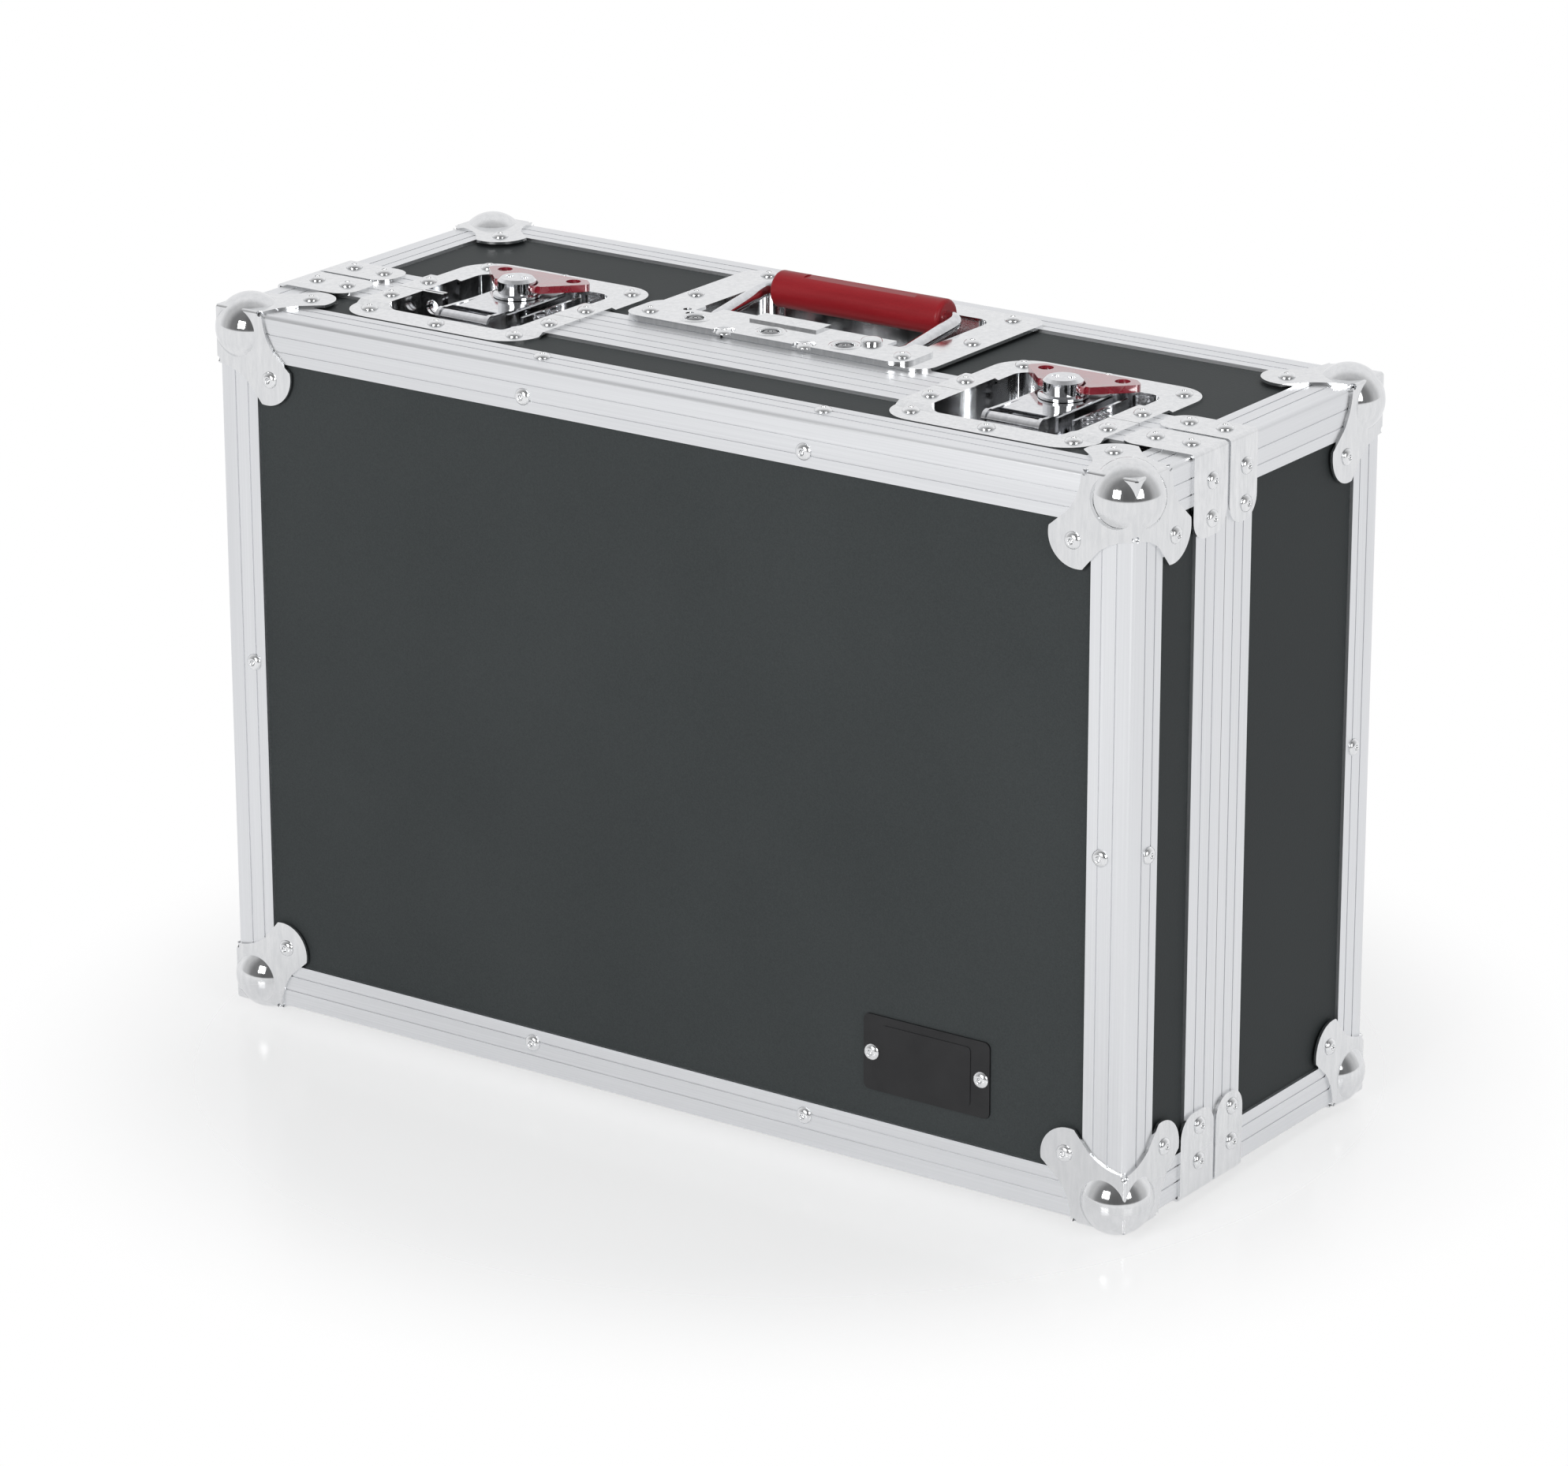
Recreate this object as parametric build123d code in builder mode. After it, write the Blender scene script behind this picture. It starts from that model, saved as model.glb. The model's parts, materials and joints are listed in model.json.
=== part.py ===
from build123d import *
import math
import os

# Flight case for microphones, standing on its hinge side with the latches and the handle on top.
# X runs along the length, -Y is the lid's face, +Y is the base's back, +Z is up.
# The origin is the middle of the bounding box, on the surface that the ball corners stand on.
# All sizes are millimetres.

# Outside of the box, over the aluminium edges
case_length = 500.0
case_depth = 204.0
case_height = 341.0
lid_depth = 73.0
parting_gap = 0.3
panel_thickness = 7.0

# Edge angles and the tongue and groove frames
leg_length = 22.0
leg_wall = 1.6
inner_leg_reach = 20.0
inner_leg_wall = 1.6
corner_web = 1.5
fold_radius = 2.0
line_places = (9.0, 16.4)
line_width = 0.7
line_depth = 0.4
base_frame_width = 21.8
lid_frame_width = 24.2
inner_flange_width = 18.0
tongue_height = 4.0
tongue_outer = 3.2
tongue_inner = 7.4
tongue_taper = 0.8
tongue_clearance = 0.3
groove_web = 7.5
slot_clearance = 0.3

# Ball corners
ball_radius = 16.6
ball_inset = 10.5
corner_sheet = 1.2
petal_root = 26.6
petal_waist = (33.3, 17.6)
petal_side = (28.9, 10.3)
petal_shoulder = (42.6, 25.6)
petal_tip = 38.6
petal_rivet = 30.5
relief_radius = 1.6
relief_place = 25.2

# Rivets
rivet_radius = 2.0
rivet_head_radius = 4.0
rivet_head_height = 1.9
rivet_rim = 0.4
mandrel_radius = 1.1
mandrel_depth = 0.9
rivet_clearance = 0.1

# Corner clamps over the frames
clamp_sheet = 1.2
clamp_top_length = 39.0
clamp_side_length = 38.0
lid_clamp_width = 27.5
base_clamp_width = 22.5
clamp_gap = 1.0
clamp_end_radius = 10.0
clamp_rivet_places = (10.0, 28.0)
clamp_side_rivet_places = (13.6, 30.5)
lid_clamp_rivet_y = 13.0
base_clamp_rivet_y = 14.5

# Latches
latch_spacing = 301.5
latch_middle = 1.75
dish_sheet = 1.2
dish_width = 106.0
dish_front = 48.0
dish_rear = 65.0
dish_corner = 18.0
dish_opening_width = 75.0
dish_opening_front = 31.0
dish_opening_rear = 47.0
dish_opening_corner = 8.0
dish_depth = 16.0
joggle_front = 28.0
joggle_rear = 24.5
joggle_run = 3.0
dish_clearance = 0.5
spindle_back = 22.0
spindle_radius = 9.0
spindle_shaft_radius = 4.5
spindle_top = 8.5
collar_radius = 11.2
collar_height = 1.8
head_bevel = 1.5
head_dimple_radius = 1.7
head_dimple_place = 3.6
cam_radius = 7.0
cam_offset = 2.2
cam_height = 2.4
draw_plate_width = 30.0
draw_plate_thickness = 2.0
draw_plate_top = -0.5
draw_plate_front = 8.0
draw_plate_rear = 40.0
draw_travel = 6.5
running_gap = 0.3
nose_radius = 3.3
nose_front = 16.8
nose_drop = 3.4
ear_thickness = 2.0
ear_length = 16.0
ear_depth = 7.2
keeper_lip_thickness = 1.6
keeper_lip_gap = 0.8
keeper_side_gap = 2.6
keeper_plate_thickness = 1.5
lever_length = 60.0
lever_front_length = 27.0
lever_reach = 22.6
lever_thickness = 3.4
lever_bottom = 2.2
lever_notch_radius = 9.9
lever_hole_radius = 3.5
lever_hole_spacing = 40.0
lever_hole_back = 17.0
base_plate_width = 40.0
rail_thickness = 1.5
eye_width = 12.0
eye_thickness = 1.6
eye_top = 1.5
eye_hole_radius = 3.5
eye_hole_drop = 5.5
latch_spring_radius = 3.6
latch_spring_wire = 1.0
latch_spring_pitch = 2.0
latch_spring_turns = 4
latch_spring_x = 25.5
latch_spring_places = (21.5, 31.5)

# Handle
handle_length = 168.0
handle_front = 15.0
handle_depth = 104.0
handle_corner = 10.0
handle_sheet = 1.5
tray_length = 124.0
tray_front = 31.0
tray_depth_y = 73.0
tray_corner = 8.0
tray_drop = 17.0
tray_wall = 1.2
bracket_left = 84.0
bracket_right = 72.0
bracket_depth = 31.0
bracket_corner = 9.0
arm_notch_width = 10.0
arm_notch_clearance = 1.4
pivot_y = 43.0
pivot_drop = 2.5
bail_radius = 3.5
bail_half_width = 53.0
bail_stub_end = 46.0
journal_radius = 2.2
journal_end = 34.0
journal_clearance = 0.08
bail_reach = 46.0
bail_rise = 6.5
bail_corner = 6.0
stub_corner = 5.0
grip_radius = 8.7
grip_length = 94.0
grip_edge = 2.0
grip_bore_clearance = 0.05
label_length = 62.0
label_width = 8.0
label_depth = 0.7
lug_thickness = 2.5
lug_place = 43.2
lug_width = 12.0
lug_drop = 8.0
handle_spring_radius = 3.3
handle_spring_wire = 1.0
handle_spring_pitch = 1.6
handle_spring_turns = 3
rib_left = 27.0
rib_right = 10.0
rib_depth = 12.0
rib_height = 1.0
bump_radius = 5.0
bump_height = 2.2
dimple_radius = 2.0

# Hinges under the parting line
hinge_spacing = 300.0
hinge_width = 56.0
hinge_leaf = 30.0
hinge_sheet = 1.2
knuckle_radius = 2.6
hinge_pin_radius = 1.3
pin_clearance = 0.06
knuckle_count = 5
knuckle_gap = 0.3
hinge_rivet_x = 20.0
hinge_rivet_y = 15.0

# Name plate on the lid's face
name_plate_length = 67.0
name_plate_height = 36.0
name_plate_thickness = 1.0
name_plate_corner = 3.0
name_plate_x = 145.5
name_plate_z = 54.0
name_plate_rivet_spacing = 58.2
plate_field_length = 47.0
plate_field_height = 28.0
plate_field_corner = 2.0
plate_field_rise = 0.3

# Foam inside
foam_clearance = 0.4
glue_line = 0.1
foam_floor_thickness = 10.0
lid_foam_thickness = 28.0
foam_rim_setback = 7.0
pocket_columns = 4
pocket_rows = 3
pocket_radius = 27.0
pocket_pitch_x = 74.0
pocket_pitch_z = 88.0
pocket_drop = 14.0
pocket_field_shift = 66.0
bay_width = 112.0
bay_height = 240.0
bay_shift = 166.0
bay_corner = 10.0

# Places worked out from the sizes above
half_length = case_length / 2
half_depth = case_depth / 2
ball_proud = ball_radius - ball_inset
base_z = ball_proud
top_z = base_z + case_height
middle_z = base_z + case_height / 2
parting_y = lid_depth - half_depth
lid_rim_y = parting_y - parting_gap / 2
base_rim_y = parting_y + parting_gap / 2
panel_inside = leg_wall + panel_thickness
inner_leg_depth = panel_inside + inner_leg_wall
slot_bottom = inner_leg_depth + slot_clearance
stack_depth = inner_leg_depth
spindle_y = parting_y + spindle_back
latch_xs = {"left": latch_middle - latch_spacing / 2, "right": latch_middle + latch_spacing / 2}
dish_floor_z = top_z - dish_depth
pan_half_width = dish_opening_width / 2 + dish_sheet
handle_y = parting_y + handle_front
tray_y = parting_y + tray_front
bail_pivot_y = parting_y + pivot_y
bail_pivot_z = top_z - pivot_drop
grip_y = bail_pivot_y + bail_reach
grip_z = bail_pivot_z + bail_rise
hinge_z = base_z - knuckle_radius
foam_edge = inner_leg_depth + foam_clearance


def block(x_span, y_span, z_span, mode=Mode.ADD):
    """A box given by its limits along each axis."""
    spans = (x_span, y_span, z_span)
    middle = [(low + high) / 2 for low, high in spans]
    size = [high - low for low, high in spans]
    with Locations(tuple(middle)):
        Box(*size, mode=mode)


def seat(face, first, second, lift=0.0):
    """Plane on a face of the case, given by the two in-plane coordinates and a lift outwards."""
    if face in ("top", "bottom"):
        sign = 1 if face == "top" else -1
        level = top_z if face == "top" else base_z
        return Plane(origin=(first, second, level + sign * lift), z_dir=(0, 0, sign))
    if face in ("right", "left"):
        sign = 1 if face == "right" else -1
        return Plane(origin=(sign * (half_length + lift), first, second), z_dir=(sign, 0, 0))
    sign = -1 if face == "front" else 1
    return Plane(origin=(first, sign * (half_depth + lift), second), z_dir=(0, sign, 0))


def side_frame(face):
    """Plane of one of the four faces round the parting line: local Y is the case's own Y."""
    if face == "top":
        return Plane(origin=(0, 0, top_z), x_dir=(1, 0, 0), z_dir=(0, 0, 1))
    if face == "bottom":
        return Plane(origin=(0, 0, base_z), x_dir=(-1, 0, 0), z_dir=(0, 0, -1))
    if face == "right":
        return Plane(origin=(half_length, 0, middle_z), x_dir=(0, 0, -1), z_dir=(1, 0, 0))
    return Plane(origin=(-half_length, 0, middle_z), x_dir=(0, 0, 1), z_dir=(-1, 0, 0))


def drill(seats):
    """Rivet holes right through the stack, straight in from each seat."""
    if seats:
        with Locations(*seats):
            Cylinder(rivet_radius + rivet_clearance, 4 * stack_depth, mode=Mode.SUBTRACT)


def make_rivet(lift):
    """Blind rivet on a seat at this height over the edges, with its shank through the stack."""
    rise = rivet_head_height - rivet_rim
    dome_radius = (rivet_head_radius**2 + rise**2) / (2 * rise)
    dome_middle = rivet_head_height - dome_radius

    def dome(x):
        return (x, dome_middle + math.sqrt(dome_radius**2 - x**2))

    shank = stack_depth + lift
    with BuildPart() as rivet:
        with BuildSketch(Plane.XZ):
            with BuildLine():
                Polyline(
                    dome(mandrel_radius),
                    (mandrel_radius, rivet_head_height - mandrel_depth),
                    (0, rivet_head_height - mandrel_depth),
                    (0, -shank),
                    (rivet_radius, -shank),
                    (rivet_radius, 0),
                    (rivet_head_radius, 0),
                    (rivet_head_radius, rivet_rim),
                )
                ThreePointArc(dome(rivet_head_radius), dome(rivet_head_radius * 0.6), dome(mandrel_radius))
            make_face()
        revolve(axis=Axis.Z)
    return rivet.part


def biarc_joint(start, start_dir, end, end_dir):
    """Point where two arcs, tangent to the given directions, meet smoothly."""
    gap = end - start
    turn = start_dir + end_dir
    spread = 2 * (1 - start_dir.dot(end_dir))
    along = gap.dot(turn)
    reach = (-along + math.sqrt(along**2 + spread * gap.dot(gap))) / spread
    return ((start + start_dir * reach) + (end - end_dir * reach)) / 2


def make_coil(radius, pitch, turns, wire, first_leg, last_leg):
    """Round-wire coil about Z, with straight legs that leave it square to the axis."""
    quarters = 4 * turns + 2
    points = []
    directions = []
    for step in range(quarters + 1):
        angle = step * math.pi / 2
        points.append(Vector(radius * math.cos(angle), radius * math.sin(angle), pitch * step / 4))
        climb = 0 if step in (0, quarters) else pitch / (2 * math.pi)
        heading = Vector(-radius * math.sin(angle), radius * math.cos(angle), climb)
        directions.append(heading.normalized())
    with BuildPart() as coil:
        with BuildLine():
            Line(points[0] - directions[0] * first_leg, points[0])
            for step in range(quarters):
                joint = biarc_joint(points[step], directions[step], points[step + 1], directions[step + 1])
                first = TangentArc(points[step], joint, tangent=directions[step])
                TangentArc(joint, points[step + 1], tangent=first % 1)
            Line(points[-1], points[-1] + directions[-1] * last_leg)
        with BuildSketch(Plane(origin=points[0] - directions[0] * first_leg, z_dir=directions[0])):
            Circle(wire / 2)
        sweep()
    return coil.part


def coil_gap(radius, pitch, turns, wire):
    """Least distance between the wire's surface and itself, a turn or more apart, on points."""
    samples = 48
    path = []
    for step in range(samples * turns + samples // 2 + 1):
        angle = 2 * math.pi * step / samples
        path.append(Vector(radius * math.cos(angle), radius * math.sin(angle), pitch * step / samples))
    least = min(
        (path[late] - path[early]).length
        for early in range(len(path))
        for late in range(early + samples // 2, len(path))
    )
    return least - wire


def make_edge(length, mitre_start=True, mitre_end=True):
    """Edge angle along X: one leg lies under z=0 towards +Y, the other inside y=0 towards -Z."""
    corner = (leg_wall / 2, -leg_wall / 2)
    middle = ((leg_wall + panel_inside) / 2, -(leg_wall + panel_inside) / 2)
    with BuildPart() as edge:
        with BuildSketch(Plane.YZ.offset(-length / 2)):
            Rectangle(leg_length, leg_wall, align=(Align.MIN, Align.MAX))
            Rectangle(leg_wall, leg_length, align=(Align.MIN, Align.MAX))
            with Locations((panel_inside, -panel_inside)):
                Rectangle(inner_leg_reach - panel_inside, inner_leg_wall, align=(Align.MIN, Align.MAX))
                Rectangle(inner_leg_wall, inner_leg_reach - panel_inside, align=(Align.MIN, Align.MAX))
            with Locations(middle):
                web_length = (panel_inside - corner[0] + inner_leg_wall / 2) * math.sqrt(2)
                Rectangle(web_length, corner_web, rotation=-45)
            for place in line_places:
                with Locations((place, -line_depth / 2)):
                    Rectangle(line_width, line_depth, mode=Mode.SUBTRACT)
                with Locations((line_depth / 2, -place)):
                    Rectangle(line_depth, line_width, mode=Mode.SUBTRACT)
        extrude(amount=length)
        fold = edge.edges().filter_by(Axis.X).sort_by_distance((0, 0, 0))[0]
        fillet(fold, radius=fold_radius)
        for wanted, end in ((mitre_start, -1), (mitre_end, 1)):
            if wanted:
                for lean in ((end, 1, 0), (end, 0, -1)):
                    split(bisect_by=Plane(origin=(end * length / 2, 0, 0), z_dir=lean), keep=Keep.BOTTOM)
    return edge.part


def edge_plane(corner, first_normal, second_normal):
    """Plane that lays an edge angle on the fold between two faces, given their outward normals."""
    first = Vector(first_normal)
    second = Vector(second_normal)
    return Plane(origin=corner, x_dir=first.cross(second), z_dir=first)


def make_frame_run(length, is_base):
    """Tongue (base) or groove (lid) frame along X, outer face on z=0, rim on the parting plane."""
    if is_base:
        root = tongue_inner - tongue_outer
        outline = [
            (base_rim_y, 0),
            (parting_y + base_frame_width, 0),
            (parting_y + base_frame_width, -leg_wall),
            (base_rim_y + tongue_outer, -leg_wall),
            (base_rim_y + tongue_outer, -panel_inside),
            (base_rim_y + inner_flange_width, -panel_inside),
            (base_rim_y + inner_flange_width, -inner_leg_depth),
            (base_rim_y, -inner_leg_depth),
            (base_rim_y, -tongue_outer - root),
            (base_rim_y - tongue_height, -tongue_outer - root + tongue_taper),
            (base_rim_y - tongue_height, -tongue_outer - tongue_taper),
            (base_rim_y, -tongue_outer),
        ]
        width, sign, rim = base_frame_width, 1, base_rim_y
    else:
        mouth_outer = tongue_outer - tongue_clearance
        mouth_inner = tongue_inner + tongue_clearance
        bottom_y = base_rim_y - tongue_height - tongue_clearance
        outline = [
            (lid_rim_y, 0),
            (parting_y - lid_frame_width, 0),
            (parting_y - lid_frame_width, -leg_wall),
            (lid_rim_y - groove_web, -leg_wall),
            (lid_rim_y - groove_web, -panel_inside),
            (lid_rim_y - inner_flange_width, -panel_inside),
            (lid_rim_y - inner_flange_width, -inner_leg_depth),
            (lid_rim_y, -inner_leg_depth),
            (lid_rim_y, -mouth_inner),
            (bottom_y, -mouth_inner + tongue_taper),
            (bottom_y, -mouth_outer - tongue_taper),
            (lid_rim_y, -mouth_outer),
        ]
        width, sign, rim = lid_frame_width, -1, lid_rim_y
    with BuildPart() as run:
        with BuildSketch(Plane.YZ.offset(-length / 2)):
            with BuildLine():
                Polyline(*outline, close=True)
            make_face()
            for share in (1 / 3, 2 / 3):
                with Locations((rim + sign * width * share, -line_depth / 2)):
                    Rectangle(line_width, line_depth, mode=Mode.SUBTRACT)
        extrude(amount=length)
        for end in (-1, 1):
            split(bisect_by=Plane(origin=(end * length / 2, 0, 0), z_dir=(end, 0, -1)), keep=Keep.BOTTOM)
    return run.part


# Rivet seats, sorted by what they fasten
petal_seats = {"lid": [], "base": []}
edge_seats = {"lid": [], "base": []}
clamp_seats = {"lid": [], "base": []}
latch_seats = {"lid": [], "base": []}
handle_seats = {"plate": [], "bracket": []}
hinge_seats = {"lid": [], "base": []}
plate_seats = []

edge_rivet_xs = (-73.5, 80.0)
edge_rivet_inset = 15.1

for body, face_y, face_name in (("lid", -half_depth, "front"), ("base", half_depth, "back")):
    inward = 1 if body == "lid" else -1
    for x_sign, x_name in ((-1, "left"), (1, "right")):
        corner_x = x_sign * (half_length - petal_rivet)
        corner_y = face_y + inward * petal_rivet
        for level, z_name in ((base_z + petal_rivet, "bottom"), (top_z - petal_rivet, "top")):
            petal_seats[body].append(seat(face_name, corner_x, level, corner_sheet))
            petal_seats[body].append(seat(x_name, corner_y, level, corner_sheet))
            petal_seats[body].append(seat(z_name, corner_x, corner_y, corner_sheet))
        edge_seats[body].append(seat(face_name, x_sign * (half_length - edge_rivet_inset), middle_z))
        edge_seats[body].append(seat(x_name, face_y + inward * edge_rivet_inset, middle_z))
    for x in edge_rivet_xs:
        edge_seats[body].append(seat(face_name, x, top_z - edge_rivet_inset))
        edge_seats[body].append(seat(face_name, x, base_z + edge_rivet_inset))
        if body == "lid":
            edge_seats[body].append(seat("top", x, face_y + inward * edge_rivet_inset))
        edge_seats[body].append(seat("bottom", x, face_y + inward * edge_rivet_inset))

clamp_rivet_ys = {"lid": parting_y - lid_clamp_rivet_y, "base": parting_y + base_clamp_rivet_y}
for body, y in clamp_rivet_ys.items():
    for x_sign, x_name in ((-1, "left"), (1, "right")):
        for place in clamp_rivet_places:
            clamp_seats[body].append(seat("top", x_sign * (half_length - place), y, clamp_sheet))
            clamp_seats[body].append(seat("bottom", x_sign * (half_length - place), y, clamp_sheet))
        for place in clamp_side_rivet_places:
            clamp_seats[body].append(seat(x_name, y, top_z - place, clamp_sheet))
            clamp_seats[body].append(seat(x_name, y, base_z + place, clamp_sheet))

low_lift = dish_sheet - leg_wall
latch_rivets = {
    "base": ((-42.0, 55.0, low_lift), (42.0, 55.0, low_lift), (0.0, 58.0, low_lift),
             (-46.0, 14.0, dish_sheet), (46.0, 14.0, dish_sheet)),
    "lid": ((-46.0, -14.0, dish_sheet), (46.0, -14.0, dish_sheet),
            (-42.0, -35.0, low_lift), (42.0, -35.0, low_lift), (0.0, -39.0, low_lift)),
}
for body, places in latch_rivets.items():
    for latch_x in latch_xs.values():
        for x, y, lift in places:
            latch_seats[body].append(seat("top", latch_x + x, parting_y + y, lift))

plate_rivets = ((-70.0, 113.0), (68.0, 111.0), (-78.0, 66.0), (75.0, 67.0), (-27.0, 17.0), (17.0, 18.0),
                (-50.0, 26.5), (-8.0, 26.5), (33.0, 26.5))
bracket_rivets = ((-75.0, 26.0), (64.5, 26.0))
notch_rivets = plate_rivets[4:6]
dished_rivets = plate_rivets[6:9]
for x, y in plate_rivets:
    handle_seats["plate"].append(seat("top", x, parting_y + y, handle_sheet))
for x, y in bracket_rivets:
    handle_seats["bracket"].append(seat("top", x, parting_y + y, 2 * handle_sheet))

for hinge_x in (-hinge_spacing / 2, hinge_spacing / 2):
    for x in (-hinge_rivet_x, hinge_rivet_x):
        hinge_seats["lid"].append(seat("bottom", hinge_x + x, parting_y - hinge_rivet_y, hinge_sheet))
        hinge_seats["base"].append(seat("bottom", hinge_x + x, parting_y + hinge_rivet_y, hinge_sheet))

for x in (-name_plate_rivet_spacing / 2, name_plate_rivet_spacing / 2):
    plate_lift = name_plate_thickness - leg_wall
    plate_seats.append(seat("front", name_plate_x + x, base_z + name_plate_z, plate_lift))

body_seats = {
    "lid": petal_seats["lid"] + edge_seats["lid"] + clamp_seats["lid"] + latch_seats["lid"]
    + hinge_seats["lid"] + plate_seats,
    "base": petal_seats["base"] + edge_seats["base"] + clamp_seats["base"] + latch_seats["base"]
    + hinge_seats["base"] + handle_seats["plate"] + handle_seats["bracket"],
}


def seats_on(seats, *normals):
    """Those seats whose outward normal is one of the given ones."""
    return [plane for plane in seats
            if any((plane.z_dir - Vector(normal)).length < 0.1 for normal in normals)]


normals = {
    "top": (0, 0, 1), "bottom": (0, 0, -1), "left": (-1, 0, 0),
    "right": (1, 0, 0), "front": (0, -1, 0), "back": (0, 1, 0),
}
parts = {}

# Panels: laminated plywood, held in the slots of the edge angles and the frames
face_x = (slot_bottom - half_length, half_length - slot_bottom)
face_z = (base_z + slot_bottom, top_z - slot_bottom)
panel_ys = {
    "lid": (slot_bottom - half_depth, lid_rim_y - groove_web - slot_clearance),
    "base": (base_rim_y + tongue_outer + slot_clearance, half_depth - slot_bottom),
}
outer_faces = {
    "front": (-half_depth + leg_wall, -half_depth + panel_inside),
    "back": (half_depth - panel_inside, half_depth - leg_wall),
    "top": (top_z - panel_inside, top_z - leg_wall),
    "bottom": (base_z + leg_wall, base_z + panel_inside),
    "left": (-half_length + leg_wall, -half_length + panel_inside),
    "right": (half_length - panel_inside, half_length - leg_wall),
}


def cut_dish_pockets():
    """Openings through the top for the two latch dishes, open at the parting line."""
    for latch_x in latch_xs.values():
        half = pan_half_width + dish_clearance
        front = parting_y - dish_opening_front - dish_sheet - dish_clearance
        rear = parting_y + dish_opening_rear + dish_sheet + dish_clearance
        block((latch_x - half, latch_x + half), (front, rear),
              (top_z - 2 * dish_depth, top_z + 5), Mode.SUBTRACT)


for body, big_face in (("lid", "front"), ("base", "back")):
    with BuildPart() as big_panel:
        block(face_x, outer_faces[big_face], face_z)
        drill(seats_on(body_seats[body], normals[big_face]))
    parts[f"{body}_{big_face}_panel"] = big_panel.part

    for side in ("left", "right"):
        with BuildPart() as side_panel:
            block(outer_faces[side], panel_ys[body], face_z)
            drill(seats_on(body_seats[body], normals[side]))
        parts[f"{body}_{side}_panel"] = side_panel.part

    with BuildPart() as bottom_panel:
        block(face_x, panel_ys[body], outer_faces["bottom"])
        drill(seats_on(body_seats[body], normals["bottom"]))
    parts[f"{body}_bottom_panel"] = bottom_panel.part

    with BuildPart() as top_panel:
        block(face_x, panel_ys[body], outer_faces["top"])
        cut_dish_pockets()
        if body == "base":
            tray_half = tray_length / 2 + tray_wall + dish_clearance
            tray_margin = tray_wall + dish_clearance
            tray_span = (tray_y - tray_margin, tray_y + tray_depth_y + tray_margin)
            block((-tray_half, tray_half), tray_span, (top_z - 2 * tray_drop, top_z + 5), Mode.SUBTRACT)
        drill(seats_on(body_seats[body], normals["top"]))
    parts[f"{body}_top_panel"] = top_panel.part

# Edge angles, mitred under the ball corners
long_edge = make_edge(case_length)
short_edge = make_edge(case_height)
lid_corner_edge = make_edge(lid_depth - lid_frame_width, mitre_start=False)
base_corner_edge = make_edge(case_depth - lid_depth - base_frame_width, mitre_start=False)

for body, face_name, face_y in (("lid", "front", -half_depth), ("base", "back", half_depth)):
    out_y = normals[face_name]
    with BuildPart() as face_edges_long:
        for level, z_name in ((top_z, "top"), (base_z, "bottom")):
            add(edge_plane((0, face_y, level), normals[z_name], out_y).location * long_edge)
        drill(edge_seats[body])
        if body == "base":
            drill(handle_seats["plate"])
    parts[f"{body}_face_edges_long"] = face_edges_long.part

    with BuildPart() as face_edges_short:
        for x_sign, x_name in ((-1, "left"), (1, "right")):
            corner = (x_sign * half_length, face_y, middle_z)
            add(edge_plane(corner, normals[x_name], out_y).location * short_edge)
        drill(edge_seats[body])
    parts[f"{body}_face_edges_short"] = face_edges_short.part

    corner_edge = lid_corner_edge if body == "lid" else base_corner_edge
    frame_width = lid_frame_width if body == "lid" else base_frame_width
    inner_y = parting_y - frame_width if body == "lid" else parting_y + frame_width
    with BuildPart() as corner_edges:
        for x_sign, x_name in ((-1, "left"), (1, "right")):
            for level, z_name in ((top_z, "top"), (base_z, "bottom")):
                spot = (x_sign * half_length, (inner_y + face_y) / 2, level)
                plane = edge_plane(spot, normals[z_name], normals[x_name])
                if plane.x_dir.Y * face_y < 0:
                    plane = edge_plane(spot, normals[x_name], normals[z_name])
                add(plane.location * corner_edge)
    parts[f"{body}_corner_edges"] = corner_edges.part

# Tongue frame of the base and groove frame of the lid, cut through at the latch dishes
for body, frame_name in (("lid", "groove"), ("base", "tongue")):
    is_base = body == "base"
    wide_run = make_frame_run(case_length, is_base)
    high_run = make_frame_run(case_height, is_base)
    for face in ("top", "bottom"):
        with BuildPart() as frame_run:
            add(side_frame(face).location * wide_run)
            if face == "top":
                cut_dish_pockets()
            drill(seats_on(body_seats[body], normals[face]))
            drill(seats_on(clamp_seats[body], normals["left"], normals["right"]))
        parts[f"{body}_{frame_name}_{face}"] = frame_run.part
    with BuildPart() as frame_sides:
        for face in ("left", "right"):
            add(side_frame(face).location * high_run)
        drill(clamp_seats[body])
    parts[f"{body}_{frame_name}_sides"] = frame_sides.part


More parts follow.
